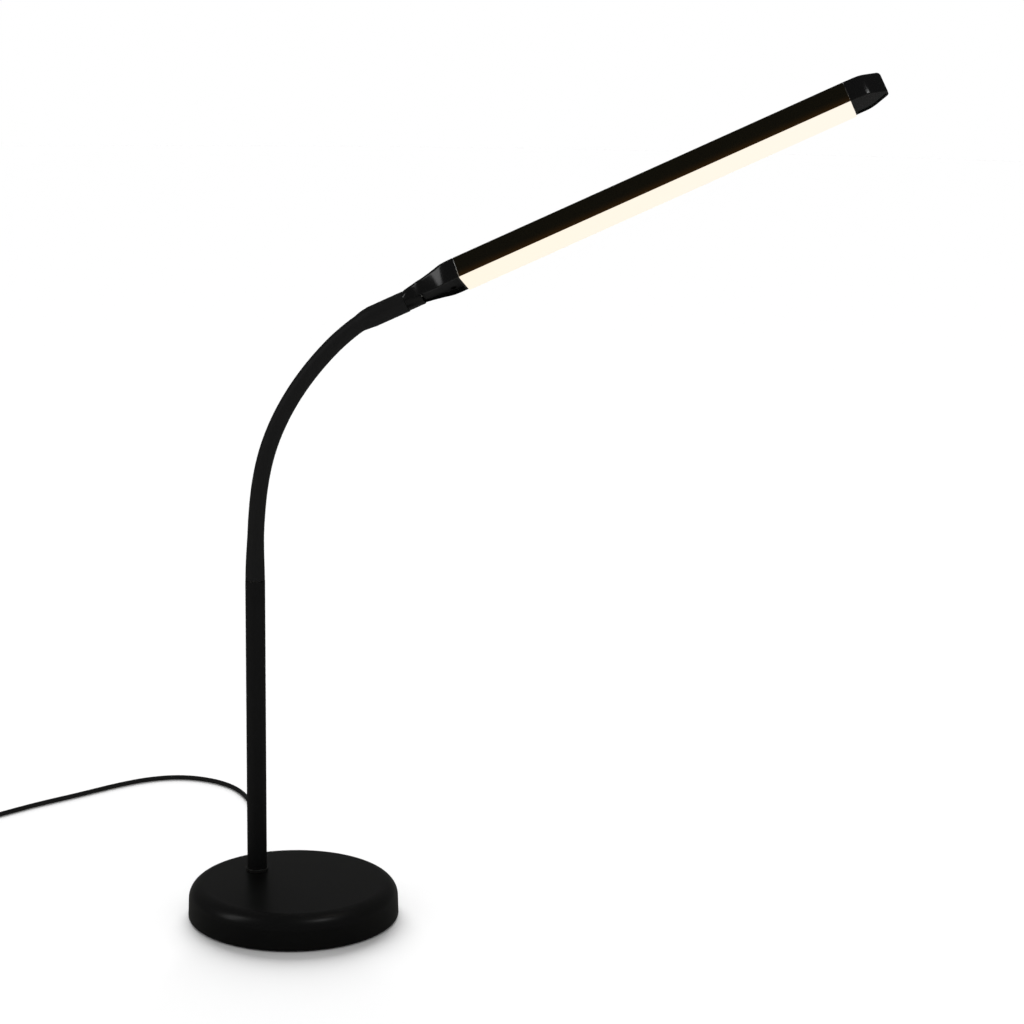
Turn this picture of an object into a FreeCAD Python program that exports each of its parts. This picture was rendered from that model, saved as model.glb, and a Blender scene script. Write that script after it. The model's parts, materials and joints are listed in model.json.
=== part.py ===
"""Gooseneck desk lamp with a straight LED bar, a round weighted base and a thin lead.

Millimetres. +Z is up, +X is the way the arm leans, and the origin is the middle of
the face that the lamp stands on. Each function makes one piece or one small group.
"""
import FreeCAD, Part
import math
import os

from FreeCAD import Vector

# Base
BASE_D = 150.0
BASE_TOP_Z = 25.0
COVER_RIM_Z = 0.5
COVER_WALL = 2.5
COVER_DRAFT = 0.8
SHOULDER_R = 11.0
RIM_ROUND_R = 1.6
PAD_T = 2.0
PLATE_T = 1.5
PLATE_GAP = 0.4
WEIGHT_T = 15.5
WEIGHT_CHAMFER = 1.5
BOSS_INSET = 9.0
BOSS_R = 3.8
BOSS_COUNT = 3
BOSS_FIRST_DEG = 50.0
WEIGHT_GAP = 2.2
PILOT_DEPTH = 10.0
BASE_SCREW_R = 1.5
BASE_SCREW_HEAD_R = 2.8
BASE_SCREW_HEAD_T = 1.2
BASE_SCREW_L = 9.0
BASE_SCREW_SLOT_L = 3.6
BASE_SCREW_SLOT_W = 0.8
PAD_GAP = 1.2

# Riser tube and what clamps it in the base
TUBE_X = -29.5
TUBE_Y = 20.0
TUBE_D = 14.0
TUBE_WALL = 1.0
TUBE_TOP_Z = 240.6
TUBE_END_GAP = 4.5
COLLAR_W = 0.9
COLLAR_T = 2.4
COLLAR_CHAMFER = 0.4
NUT_AF = 22.0
NUT_T = 4.2
WASHER_R = 13.0
WASHER_T = 1.5
NUT_POCKET_GAP = 1.5

# Play between pieces
SLIP = 0.3
FIT = 0.05
THREAD_FIT = 0.05

# Lead: the free cord and the same cord inside the base
CORD_D = 3.5
CORD_EXIT_DEG = 109.5
CORD_EXIT_Z = 7.0
RELIEF_L = 22.0
RELIEF_ROOT_R = 4.0
RELIEF_TIP_R = 2.5
RELIEF_FLANGE_R = 3.4
RELIEF_FLANGE_T = 1.5
RELIEF_NECK_R = 2.9
INNER_BEND_R = 6.0
CORD_SLOT_W = 6.0
CORD_LIE_Z = CORD_D / 2

# Free stretch of the cord: it leaves the relief straight, then follows these points to the coil
CORD_FIRST_RUN = 13.0
CORD_POINTS = [
    (-43.5, 124.5, 3.0),
    (-51.0, 153.0, CORD_LIE_Z),
    (-58.0, 190.0, CORD_LIE_Z),
    (-65.5, 224.0, CORD_LIE_Z),
    (-77.0, 255.0, CORD_LIE_Z),
    (-92.5, 278.0, CORD_LIE_Z),
    (-113.5, 292.0, CORD_LIE_Z),
    (-138.0, 297.0, CORD_LIE_Z),
    (-163.5, 288.0, CORD_LIE_Z),
    (-187.0, 268.0, CORD_LIE_Z),
    (-212.0, 240.5, CORD_LIE_Z),
    (-238.5, 214.5, CORD_LIE_Z),
    (-262.0, 186.5, CORD_LIE_Z),
    (-280.0, 164.0, CORD_LIE_Z),
]
COIL_PITCH = 4.0
COIL_TURNS = 4
COIL_OUTER_R = 28.0
# From the coil to the plug: each run's length along, its length aside and its share of the way down
TAIL_RUNS = [(14.0, 0.0, 0.0), (16.0, 9.0, 1.0)]

# Plug at the end of the cord
PLUG_GRIP_L = 26.0
PLUG_GRIP_W = 15.0
PLUG_GRIP_T = 8.0
PLUG_EDGE_R = 1.6
PLUG_NECK_L = 8.0
PLUG_NECK_R = 2.6
PLUG_NECK_WIDE_R = 3.4
PLUG_SHELL_L = 18.0
PLUG_SHELL_W = 12.0
PLUG_SHELL_T = 4.5
PLUG_SHELL_WALL = 0.35
PLUG_SHELL_SEAT = 5.0
PLUG_INSERT_T = 1.9

# Flexible arm
SLEEVE_R = 5.9
CORE_R = 5.0
LEAD_BORE_R = 1.6
LEAD_R = 1.3
ROOT_FLANGE_T = 3.0
ROOT_FLANGE_R = 6.9
ROOT_L = 32.4
ROOT_TURN = 2.7
ROOT_TAPER_L = 29.0
# Share of the taper's length and share of its narrowing
ROOT_TAPER = [(0.34, 0.28), (0.67, 0.66), (1.0, 1.0)]
SPIGOT_L = 25.0
SPIGOT_R = 5.0
BUSH_L = 22.0
SECTION_L = 24.0
SECTION_TURNS = [3.5, 6.8, 9.0, 7.8, 7.0, 6.2, 9.0]
TIP_BEND_L = 14.0
TIP_TURN = 12.6
TIP_STRAIGHT_L = 26.0
TIP_BOOT_R = 7.35
# Share of the bend's length and share of the boot's swelling
TIP_SWELL = [(0.0, 0.0), (0.28, 0.0), (0.57, 0.5), (1.0, 1.0)]
TIP_SPIGOT_R = 4.0
TIP_SPIGOT_L = 11.0
NECK_BUSH_WALL = 1.0
NECK_BUSH_L = 10.0

# Head, in its own frame: x along the bar from the neck seam, z up from the underside
HEAD_ROLL = 30.5
BAR_L = 288.0
BAR_W = 24.5
BAR_H = 16.0
BAR_TOP_R = 3.0
BAR_WALL = 1.3
BAR_ROOF = 1.6
SEAM = 0.15
RIB_W = 1.8
RIB_T = 1.0
BOARD_T = 1.0
BOARD_GAP = 0.95
BOARD_Z = 8.8
CHIP_SIZE = 3.0
CHIP_T = 0.8
CHIP_PITCH = 8.0
DIFFUSER_PROUD = 1.2
DIFFUSER_EDGE_R = 0.8
DIFFUSER_LEG_T = 1.0
DIFFUSER_LEG_H = 5.0
SPIGOT_DEPTH = 10.0

NECK_L = 42.4
NECK_END_R = 6.75
NECK_AXIS_Z = 5.2
NECK_EDGE_R = 1.0
# Share of the neck's length from the seam and share of its growth from round end to bar
NECK_SWELL = [(1.0, 0.0), (0.8, 0.08), (0.61, 0.33), (0.42, 0.65), (0.25, 0.9), (0.11, 0.985)]
NECK_WALL = 1.6
NECK_POCKET = 3.0
NECK_POCKET_L = 30.0
LID_T = 1.5
LID_BOSS_X = -9.0
LID_BOSS_Y = 6.6
LID_BOSS_R = 2.4
LID_SCREW_R = 1.1
LID_SCREW_HEAD_R = 2.0
LID_SCREW_HEAD_T = 1.2
LID_SCREW_L = 7.0
LID_SCREW_SLOT_L = 2.6
LID_SCREW_SLOT_W = 0.6
LID_POST_R = 1.5
PCB_T = 1.2
PCB_X0 = -24.0
PCB_X1 = -3.0
PCB_W = 7.6
PCB_LIFT = 1.7
BUTTON_X = -16.0
BUTTON_R = 4.0
BUTTON_PROUD = 1.2
BUTTON_EDGE_R = 0.5
BUTTON_FLANGE_W = 0.8
BUTTON_FLANGE_T = 0.8
BUTTON_TRAVEL = 0.8
STEM_R = 1.3
SWITCH_W = 6.0
LED_LEAD_R = 1.1
LED_LEAD_LAP = 4.0

CAP_L = 25.0
CAP_STRAIGHT_L = 11.5
CAP_NOSE_W = 7.0
CAP_NOSE_ROUND = 3.0
CAP_SHOULDER_ROUND = 6.0
CAP_WALL = 1.6
CAP_POCKET = 3.0

# Places that follow from the sizes above
BASE_R = BASE_D / 2
INNER_R = BASE_R - COVER_DRAFT - COVER_WALL
CEILING_Z = BASE_TOP_Z - COVER_WALL
BOSS_CIRCLE_R = BASE_R - BOSS_INSET
WEIGHT_R = BOSS_CIRCLE_R - BOSS_R - WEIGHT_GAP
PAD_R = BOSS_CIRCLE_R - BASE_SCREW_HEAD_R - PAD_GAP
PLATE_TOP_Z = PAD_T + PLATE_T
WEIGHT_TOP_Z = PLATE_TOP_Z + WEIGHT_T
TUBE_R = TUBE_D / 2
TUBE_BORE_R = TUBE_R - TUBE_WALL
TUBE_FOOT_Z = PLATE_TOP_Z + TUBE_END_GAP
NUT_Z = TUBE_FOOT_Z + SLIP
NUT_POCKET_TOP_Z = NUT_Z + NUT_T + WASHER_T
CORD_R = CORD_D / 2
EXIT_DIR = Vector(math.cos(math.radians(CORD_EXIT_DEG)), math.sin(math.radians(CORD_EXIT_DEG)), 0)
TUBE_AXIS = Vector(TUBE_X, TUBE_Y, 0)
CUP_R = SLEEVE_R + SLIP
BOARD_W = BAR_W - 2 * (BAR_WALL + BOARD_GAP)
LID_TOP_Z = NECK_POCKET + LID_T
PCB_Z = LID_TOP_Z + PCB_LIFT
PCB_TOP_Z = PCB_Z + PCB_T
UP = Vector(0, 0, 1)


def save(name, shape):
    shape.exportStep("parts/" + name + ".step")
    print(name, "solids", len(shape.Solids), "volume", round(shape.Volume, 1), "valid", shape.isValid())


def cylinder(radius, low, high, x=0.0, y=0.0):
    return Part.makeCylinder(radius, high - low, Vector(x, y, low))


def ring(outer, inner, low, high, x=0.0, y=0.0):
    return cylinder(outer, low, high, x, y).cut(cylinder(inner, low - 1, high + 1, x, y))


def box(x0, x1, y0, y1, z0, z1):
    return Part.makeBox(x1 - x0, y1 - y0, z1 - z0, Vector(x0, y0, z0))


def turned(edges):
    """A solid turned about Z from edges in the XZ plane that close on the axis or on themselves."""
    return Part.Face(Part.Wire(edges)).revolve(Vector(0, 0, 0), UP, 360)


def line(a, b):
    return Part.LineSegment(Vector(a[0], 0, a[1]), Vector(b[0], 0, b[1])).toShape()


def arc(a, middle, b):
    return Part.Arc(Vector(a[0], 0, a[1]), Vector(middle[0], 0, middle[1]), Vector(b[0], 0, b[1])).toShape()


def between(low, high, share):
    return low + (high - low) * share


def corner_middle(centre_r, centre_z, radius, degrees):
    angle = math.radians(degrees)
    return (centre_r + radius * math.cos(angle), centre_z + radius * math.sin(angle))


def polygon(points):
    """Closed wire through corner points given as (x, y, z)."""
    corners = [Vector(*p) for p in points]
    return Part.makePolygon(corners + [corners[0]])


# Base: cover, plate, pad, weight and screws


def boss_places():
    for index in range(BOSS_COUNT):
        angle = math.radians(BOSS_FIRST_DEG + index * 360 / BOSS_COUNT)
        yield BOSS_CIRCLE_R * math.cos(angle), BOSS_CIRCLE_R * math.sin(angle)


def along_exit(shape):
    """Turns a shape made along +Z from the origin so that it lies along the cord's way out."""
    shape.rotate(Vector(0, 0, 0), Vector(0, 1, 0), 90)
    shape.rotate(Vector(0, 0, 0), UP, CORD_EXIT_DEG)
    shape.translate(Vector(0, 0, CORD_EXIT_Z))
    return shape


def base_outside():
    top_r = BASE_R - COVER_DRAFT
    shoulder_z = BASE_TOP_Z - SHOULDER_R
    shoulder_c = top_r - SHOULDER_R
    rim_c = BASE_R - RIM_ROUND_R
    return turned([
        line((0, COVER_RIM_Z), (rim_c, COVER_RIM_Z)),
        arc((rim_c, COVER_RIM_Z), corner_middle(rim_c, COVER_RIM_Z + RIM_ROUND_R, RIM_ROUND_R, -45),
            (BASE_R, COVER_RIM_Z + RIM_ROUND_R)),
        line((BASE_R, COVER_RIM_Z + RIM_ROUND_R), (top_r, shoulder_z)),
        arc((top_r, shoulder_z), corner_middle(shoulder_c, shoulder_z, SHOULDER_R, 45),
            (shoulder_c, BASE_TOP_Z)),
        line((shoulder_c, BASE_TOP_Z), (0, BASE_TOP_Z)),
        line((0, BASE_TOP_Z), (0, COVER_RIM_Z)),
    ])


def base_inside():
    inner_round = SHOULDER_R - COVER_WALL
    centre_r = INNER_R - inner_round
    centre_z = CEILING_Z - inner_round
    return turned([
        line((0, 0), (INNER_R, 0)),
        line((INNER_R, 0), (INNER_R, centre_z)),
        arc((INNER_R, centre_z), corner_middle(centre_r, centre_z, inner_round, 45), (centre_r, CEILING_Z)),
        line((centre_r, CEILING_Z), (0, CEILING_Z)),
        line((0, CEILING_Z), (0, 0)),
    ])


def base_cover():
    inside = base_inside()
    cover = base_outside().cut(inside)
    for x, y in boss_places():
        boss = cylinder(BOSS_R, PLATE_TOP_Z, CEILING_Z, x, y).common(inside)
        boss_top = cylinder(BOSS_R, CEILING_Z - SHOULDER_R, CEILING_Z + COVER_WALL / 2, x, y)
        cover = cover.fuse(boss.fuse(boss_top.common(base_outside())))
        cover = cover.cut(cylinder(BASE_SCREW_R + THREAD_FIT, 0, PLATE_TOP_Z + PILOT_DEPTH, x, y))
    cover = cover.fuse(cylinder(WASHER_R, WEIGHT_TOP_Z, CEILING_Z + COVER_WALL / 2, TUBE_X, TUBE_Y))
    cover = cover.cut(cylinder(TUBE_R + FIT, 0, BASE_TOP_Z + 1, TUBE_X, TUBE_Y))
    exit_hole = along_exit(Part.makeCylinder(RELIEF_NECK_R + FIT, 2 * BASE_R, Vector(0, 0, WEIGHT_R)))
    return cover.cut(exit_hole).removeSplitter()


def base_plate():
    plate = cylinder(INNER_R - PLATE_GAP, PAD_T, PLATE_TOP_Z)
    for x, y in boss_places():
        plate = plate.cut(cylinder(BASE_SCREW_R + SLIP, 0, PLATE_TOP_Z + 1, x, y))
    return plate


def base_pad():
    return cylinder(PAD_R, 0, PAD_T)


def cord_inlet():
    """Where the cord, just inside the wall, turns towards the tube, at floor level."""
    return EXIT_DIR * (INNER_R - 2 * RELIEF_FLANGE_T)


def base_weight():
    weight = cylinder(WEIGHT_R, PLATE_TOP_Z, WEIGHT_TOP_Z)
    rims = [e for e in weight.Edges if isinstance(e.Curve, Part.Circle)]
    weight = weight.makeChamfer(WEIGHT_CHAMFER, rims)
    pocket_r = WASHER_R + NUT_POCKET_GAP
    weight = weight.cut(cylinder(pocket_r, PLATE_TOP_Z - 1, NUT_POCKET_TOP_Z, TUBE_X, TUBE_Y))
    weight = weight.cut(cylinder(TUBE_R + SLIP, 0, WEIGHT_TOP_Z + 1, TUBE_X, TUBE_Y))
    run = cord_inlet() - TUBE_AXIS
    slot = box(0, run.Length, -CORD_SLOT_W / 2, CORD_SLOT_W / 2, 0, CORD_EXIT_Z + CORD_D)
    slot.rotate(Vector(0, 0, 0), UP, math.degrees(math.atan2(run.y, run.x)))
    slot.translate(TUBE_AXIS)
    return weight.cut(slot)


def base_screws():
    screws = []
    for x, y in boss_places():
        head = cylinder(BASE_SCREW_HEAD_R, PAD_T - BASE_SCREW_HEAD_T, PAD_T, x, y)
        shank = cylinder(BASE_SCREW_R, PAD_T - BASE_SCREW_HEAD_T / 2, PAD_T + BASE_SCREW_L, x, y)
        long = BASE_SCREW_SLOT_L / 2
        short = BASE_SCREW_SLOT_W / 2
        slot = box(x - short, x + short, y - long, y + long, 0, PAD_T - BASE_SCREW_HEAD_T / 2)
        cross = box(x - long, x + long, y - short, y + short, 0, PAD_T - BASE_SCREW_HEAD_T / 2)
        screws.append(head.fuse(shank).cut(slot.fuse(cross)).removeSplitter())
    return Part.makeCompound(screws)


# Riser tube, collar, washer and nut


def riser_tube():
    return ring(TUBE_R, TUBE_BORE_R, TUBE_FOOT_Z, TUBE_TOP_Z, TUBE_X, TUBE_Y)


def foot_collar():
    collar = ring(TUBE_R + COLLAR_W, TUBE_R + FIT, BASE_TOP_Z, BASE_TOP_Z + COLLAR_T, TUBE_X, TUBE_Y)
    top_rim = []
    for edge in collar.Edges:
        if edge.BoundBox.ZMin > BASE_TOP_Z + COLLAR_T - 0.01 and edge.BoundBox.XLength > TUBE_D + COLLAR_W:
            top_rim.append(edge)
    return collar.makeChamfer(COLLAR_CHAMFER, top_rim)


def tube_washer():
    return ring(WASHER_R, TUBE_R + FIT, NUT_Z + NUT_T, NUT_POCKET_TOP_Z, TUBE_X, TUBE_Y)


def tube_nut():
    corner_r = NUT_AF / 2 / math.cos(math.radians(30))
    corners = []
    for index in range(6):
        angle = math.radians(60 * index)
        corners.append((TUBE_X + corner_r * math.cos(angle), TUBE_Y + corner_r * math.sin(angle), NUT_Z))
    nut = Part.Face(polygon(corners)).extrude(Vector(0, 0, NUT_T))
    return nut.cut(cylinder(TUBE_R + THREAD_FIT, 0, BASE_TOP_Z, TUBE_X, TUBE_Y))


# Cord: relief, the stretch inside the lamp, the free stretch, the coil and the plug


def rounded_path(points, radii):
    """Straight runs through the points, joined by tangent arcs of the given radii."""
    edges = []
    last = points[0]
    for before, point, after, radius in zip(points, points[1:], points[2:], radii):
        way_in = (point - before).normalize()
        way_out = (after - point).normalize()
        half_turn = way_in.getAngle(way_out) / 2
        back = radius * math.tan(half_turn)
        start = point - way_in * back
        end = point + way_out * back
        inward = (way_out - way_in).normalize()
        middle = point + inward * (radius / math.cos(half_turn) - radius)
        edges.append(Part.LineSegment(last, start).toShape())
        edges.append(Part.Arc(start, middle, end).toShape())
        last = end
    edges.append(Part.LineSegment(last, points[-1]).toShape())
    return Part.Wire(edges)


def open_radii(points):
    """The largest arc at each inner point: 0.45 of the shorter run over the tangent of half the turn."""
    radii = []
    for before, point, after in zip(points, points[1:], points[2:]):
        half_turn = (point - before).getAngle(after - point) / 2
        shorter = min((point - before).Length, (after - point).Length)
        radii.append(0.45 * shorter / math.tan(half_turn))
    return radii


def tube_on(path, radius):
    start = path.Edges[0]
    first = start.valueAt(start.FirstParameter)
    heading = start.tangentAt(start.FirstParameter)
    section = Part.Wire([Part.Circle(first, heading, radius).toShape()])
    tube = path.makePipeShell([section], True, False)
    expected = math.pi * radius ** 2 * path.Length
    print("tube volume", round(tube.Volume, 1), "section times length", round(expected, 1))
    return tube


def relief_end():
    return BASE_R + RELIEF_L


def cord_relief():
    wall_in = INNER_R - SLIP
    profile = [
        (CORD_R + FIT, wall_in - RELIEF_FLANGE_T),
        (RELIEF_FLANGE_R, wall_in - RELIEF_FLANGE_T),
        (RELIEF_FLANGE_R, wall_in),
        (RELIEF_NECK_R, wall_in),
        (RELIEF_NECK_R, BASE_R + SLIP),
        (RELIEF_ROOT_R, BASE_R + SLIP),
        (RELIEF_TIP_R, relief_end()),
        (CORD_R + FIT, relief_end()),
    ]
    wire = polygon([(r, 0, x) for r, x in profile])
    return along_exit(Part.Face(wire).revolve(Vector(0, 0, 0), UP, 360))


def inner_cord_points():
    low_z = PLATE_TOP_Z + CORD_R + FIT
    outside = EXIT_DIR * relief_end() + UP * CORD_EXIT_Z
    inside = cord_inlet() + UP * CORD_EXIT_Z
    under_tube = TUBE_AXIS + UP * low_z
    slot_way = (cord_inlet() - TUBE_AXIS).normalize()
    in_slot = TUBE_AXIS + slot_way * (WEIGHT_R / 2) + UP * low_z
    top = TUBE_AXIS + UP * (TUBE_TOP_Z - SPIGOT_L - SLIP)
    return [outside, inside, in_slot, under_tube, top]


def inner_cord():
    points = inner_cord_points()
    radii = [4 * CORD_D, 4 * CORD_D, INNER_BEND_R]
    return tube_on(rounded_path(points, radii), CORD_R)


def cord_points():
    leaving = EXIT_DIR * relief_end() + UP * CORD_EXIT_Z
    return [leaving, leaving + EXIT_DIR * CORD_FIRST_RUN] + [Vector(*p) for p in CORD_POINTS]


def cord_run():
    points = cord_points()
    radii = open_radii(points)
    print("cord radii", [round(r) for r in radii])
    path = rounded_path(points, radii)
    print("cord run length", round(path.Length, 1))
    return tube_on(path, CORD_R)


def coil_frame():
    """Start, heading and the way from the start to the coil's middle, from the cord's last run."""
    points = cord_points()
    heading = (points[-1] - points[-2]).normalize()
    inward = heading.cross(UP)
    return points[-1], heading, inward


def coil_path():
    start, heading, inward = coil_frame()
    step = COIL_PITCH / 2
    lift = UP * COIL_PITCH
    begin = start + heading * CORD_D
    edges = [Part.LineSegment(start, begin).toShape()]
    here = begin
    side = 1
    halves = 2 * COIL_TURNS
    radii = [COIL_OUTER_R - step * index for index in range(halves)]
    for radius in radii:
        there = here + inward * (2 * radius * side)
        middle = here + inward * (radius * side) + heading * (radius * side)
        edges.append(Part.Arc(here, middle, there).toShape())
        here = there
        side = -side
    climb = COIL_OUTER_R - step * halves
    there = here + inward * (2 * climb * side) + lift
    centre = (here + there) / 2
    middle = centre + heading * ((there - here).Length / 2 * side)
    edges.append(Part.Arc(here, middle, there).toShape())
    here = there
    side = -side
    for radius in reversed(radii[1:]):
        there = here + inward * (2 * radius * side)
        middle = here + inward * (radius * side) + heading * (radius * side)
        edges.append(Part.Arc(here, middle, there).toShape())
        here = there
        side = -side
    end = here + heading * (CORD_D * side)
    edges.append(Part.LineSegment(here, end).toShape())
    return Part.Wire(edges), end, heading * side


def least_gap(path, diameter):
    """Smallest distance between turns of a path, less the tube's diameter."""
    count = int(path.Length / diameter)
    points = path.discretize(count)
    spacing = path.Length / (count - 1)
    apart = int(4 * diameter / spacing) + 1
    least = min((a - b).Length for i, a in enumerate(points) for b in points[i + apart:])
    return least - diameter


def cord_coil():
    path, end, heading = coil_path()
    print("coil length", round(path.Length, 1), "least gap", round(least_gap(path, CORD_D), 2))
    return tube_on(path, CORD_R)


def tail_points():
    """From the end of the coil down to the back of the plug."""
    path, end, heading = coil_path()
    aside = heading.cross(UP)
    drop = end.z - PLUG_GRIP_T / 2
    points = [end]
    for along, across, share in TAIL_RUNS:
        points.append(points[-1] + heading * along + aside * across - UP * (drop * share))
    last = points[-1] - points[-2]
    last.z = 0
    last.normalize()
    points.append(points[-1] + last * TAIL_RUNS[-1][0])
    return points


def cord_tail():
    points = tail_points()
    radii = open_radii(points)
    print("tail radii", [round(r) for r in radii], "height at plug", round(points[-1].z, 2))
    return tube_on(rounded_path(points, radii), CORD_R)


def plug_place(shape):
    """Puts a shape made along +X from the origin at the end of the cord's tail."""
    points = tail_points()
    way = points[-1] - points[-2]
    shape.rotate(Vector(0, 0, 0), UP, math.degrees(math.atan2(way.y, way.x)))
    shape.translate(points[-1])
    return shape


def plug_grip():
    neck = Part.makeCone(PLUG_NECK_R, PLUG_NECK_WIDE_R, PLUG_NECK_L, Vector(0, 0, 0), Vector(1, 0, 0))
    grip = box(PLUG_NECK_L, PLUG_NECK_L + PLUG_GRIP_L, -PLUG_GRIP_W / 2, PLUG_GRIP_W / 2,
               -PLUG_GRIP_T / 2, PLUG_GRIP_T / 2)
    grip = grip.makeFillet(PLUG_EDGE_R, grip.Edges).fuse(neck).removeSplitter()
    recess = box(shell_start(), shell_start() + 2 * PLUG_SHELL_SEAT, -PLUG_SHELL_W / 2 - FIT,
                 PLUG_SHELL_W / 2 + FIT, -PLUG_SHELL_T / 2 - FIT, PLUG_SHELL_T / 2 + FIT)
    return plug_place(grip.cut(recess))


def shell_start():
    return PLUG_NECK_L + PLUG_GRIP_L - PLUG_SHELL_SEAT


def plug_shell():
    x0 = shell_start()
    outside = box(x0, x0 + PLUG_SHELL_L, -PLUG_SHELL_W / 2, PLUG_SHELL_W / 2,
                  -PLUG_SHELL_T / 2, PLUG_SHELL_T / 2)
    wall = PLUG_SHELL_WALL
    inside = box(x0 + wall, x0 + PLUG_SHELL_L + 1, -PLUG_SHELL_W / 2 + wall, PLUG_SHELL_W / 2 - wall,
                 -PLUG_SHELL_T / 2 + wall, PLUG_SHELL_T / 2 - wall)
    return plug_place(outside.cut(inside))


def plug_insert():
    x0 = shell_start() + PLUG_SHELL_WALL
    side = PLUG_SHELL_W / 2 - PLUG_SHELL_WALL - FIT
    low = -PLUG_SHELL_T / 2 + PLUG_SHELL_WALL + FIT
    length = PLUG_SHELL_L - 2 * PLUG_SHELL_WALL
    return plug_place(box(x0, x0 + length, -side, side, low, low + PLUG_INSERT_T))


# Flexible arm: every stretch is an arc of a given length and turn, in the plane of the arm


def heading_vector(heading):
    return Vector(math.cos(math.radians(heading)), 0, math.sin(math.radians(heading)))


def after_arc(point, heading, length, turn):
    """Where an arc ends that starts at the point and turns down towards +X."""
    if turn == 0:
        return point + heading_vector(heading) * length, heading
    radius = length / math.radians(turn)
    centre = arc_centre(point, heading, radius)
    return centre - heading_vector(heading - turn - 90) * radius, heading - turn


def arc_centre(point, heading, radius):
    return point + heading_vector(heading - 90) * radius


def rod_on_arc(point, heading, length, turn, radius):
    face = Part.Face(Part.Wire([Part.Circle(point, heading_vector(heading), radius).toShape()]))
    if turn == 0:
        return face.extrude(heading_vector(heading) * length)
    centre = arc_centre(point, heading, length / math.radians(turn))
    return face.revolve(centre, Vector(0, 1, 0), turn)


def arm_joints():
    """Place and heading of each joint of the arm, from the root to the tip."""
    point = Vector(TUBE_X, TUBE_Y, TUBE_TOP_Z + ROOT_FLANGE_T)
    joint = after_arc(point, 90.0, ROOT_L, ROOT_TURN)
    joints = [joint]
    for turn in SECTION_TURNS:
        joint = after_arc(joint[0], joint[1], SECTION_L, turn)
        joints.append(joint)
    return joints


def stood_on(shape, point, heading):
    """Moves a shape made along +Z at the origin so that it stands at the point, along the heading."""
    shape.rotate(Vector(0, 0, 0), Vector(0, 1, 0), 90 - heading)
    shape.translate(point)
    return shape


def dome(inner, outer, point, heading):
    """The part of a ball between two radii that caps a section at a joint."""
    low_z = 0.0
    edge_z = math.sqrt(max(SLEEVE_R ** 2 - outer ** 2, 0))
    top_z = math.sqrt(SLEEVE_R ** 2 - inner ** 2)
    middle = (math.atan2(edge_z, outer) + math.atan2(top_z, inner)) / 2
    edges = [line((inner, low_z), (outer, low_z))]
    if edge_z > 0.001:
        edges.append(line((outer, low_z), (outer, edge_z)))
    halfway = (SLEEVE_R * math.cos(middle), SLEEVE_R * math.sin(middle))
    edges.append(arc((outer, edge_z), halfway, (inner, top_z)))
    edges.append(line((inner, top_z), (inner, low_z)))
    return stood_on(turned(edges), point, heading)


def arm_piece(index, inner, outer):
    """One piece of a section, between two radii: a cup at its lower joint and a dome at the upper."""
    joints = arm_joints()
    point, heading = joints[index]
    turn = SECTION_TURNS[index]
    piece = rod_on_arc(point, heading, SECTION_L, turn, outer)
    piece = piece.fuse(dome(inner, outer, joints[index + 1][0], joints[index + 1][1]))
    if inner > 0:
        piece = piece.cut(rod_on_arc(point, heading, SECTION_L, turn, inner))
    piece = piece.cut(Part.makeSphere(CUP_R, point))
    return piece.removeSplitter()


def arm_sleeve(index):
    return arm_piece(index, CORE_R, SLEEVE_R)


def arm_core(index):
    return arm_piece(index, LEAD_BORE_R, CORE_R - FIT)


def arm_lead(index):
    return arm_piece(index, 0.0, LEAD_R)


# Root of the arm: fitting, bush, boot and lead


def root_start():
    return Vector(TUBE_X, TUBE_Y, TUBE_TOP_Z + ROOT_FLANGE_T)


def root_rod(radius):
    return rod_on_arc(root_start(), 90.0, ROOT_L, ROOT_TURN, radius)


def root_fitting():
    point, heading = arm_joints()[0]
    spigot = cylinder(SPIGOT_R - FIT, TUBE_TOP_Z - SPIGOT_L, TUBE_TOP_Z + ROOT_FLANGE_T, TUBE_X, TUBE_Y)
    flange = cylinder(ROOT_FLANGE_R, TUBE_TOP_Z + SLIP, TUBE_TOP_Z + ROOT_FLANGE_T, TUBE_X, TUBE_Y)
    fitting = spigot.fuse(flange).fuse(root_rod(CORE_R - FIT))
    bore = cylinder(LEAD_BORE_R, TUBE_TOP_Z - SPIGOT_L - 1, TUBE_TOP_Z + ROOT_FLANGE_T, TUBE_X, TUBE_Y)
    fitting = fitting.cut(bore).cut(root_rod(LEAD_BORE_R))
    return fitting.fuse(dome(LEAD_BORE_R, CORE_R - FIT, point, heading)).removeSplitter()


def swivel_bush():
    return ring(TUBE_BORE_R - FIT, SPIGOT_R, TUBE_TOP_Z - BUSH_L, TUBE_TOP_Z, TUBE_X, TUBE_Y)


def boot_on(stations):
    """Rubber boot lofted through round sections, each a place, a heading and a radius."""
    wires = [Part.Wire([Part.Circle(p, heading_vector(h), r).toShape()]) for p, h, r in stations]
    return Part.makeLoft(wires, True)


def along_root(distance):
    return after_arc(root_start(), 90.0, distance, ROOT_TURN * distance / ROOT_L)


def root_boot():
    stations = [(root_start(), 90.0, ROOT_FLANGE_R)]
    for share, narrowed in ROOT_TAPER:
        place = along_root(ROOT_TAPER_L * share)
        stations.append((place[0], place[1], between(ROOT_FLANGE_R, SLEEVE_R, narrowed)))
    boot = boot_on(stations)
    point, heading = arm_joints()[0]
    end = along_root(ROOT_TAPER_L)
    turn_left = ROOT_TURN * (1 - ROOT_TAPER_L / ROOT_L)
    boot = boot.fuse(rod_on_arc(end[0], end[1], ROOT_L - ROOT_TAPER_L, turn_left, SLEEVE_R))
    boot = boot.cut(root_rod(CORE_R))
    return boot.fuse(dome(CORE_R, SLEEVE_R, point, heading)).removeSplitter()


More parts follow.
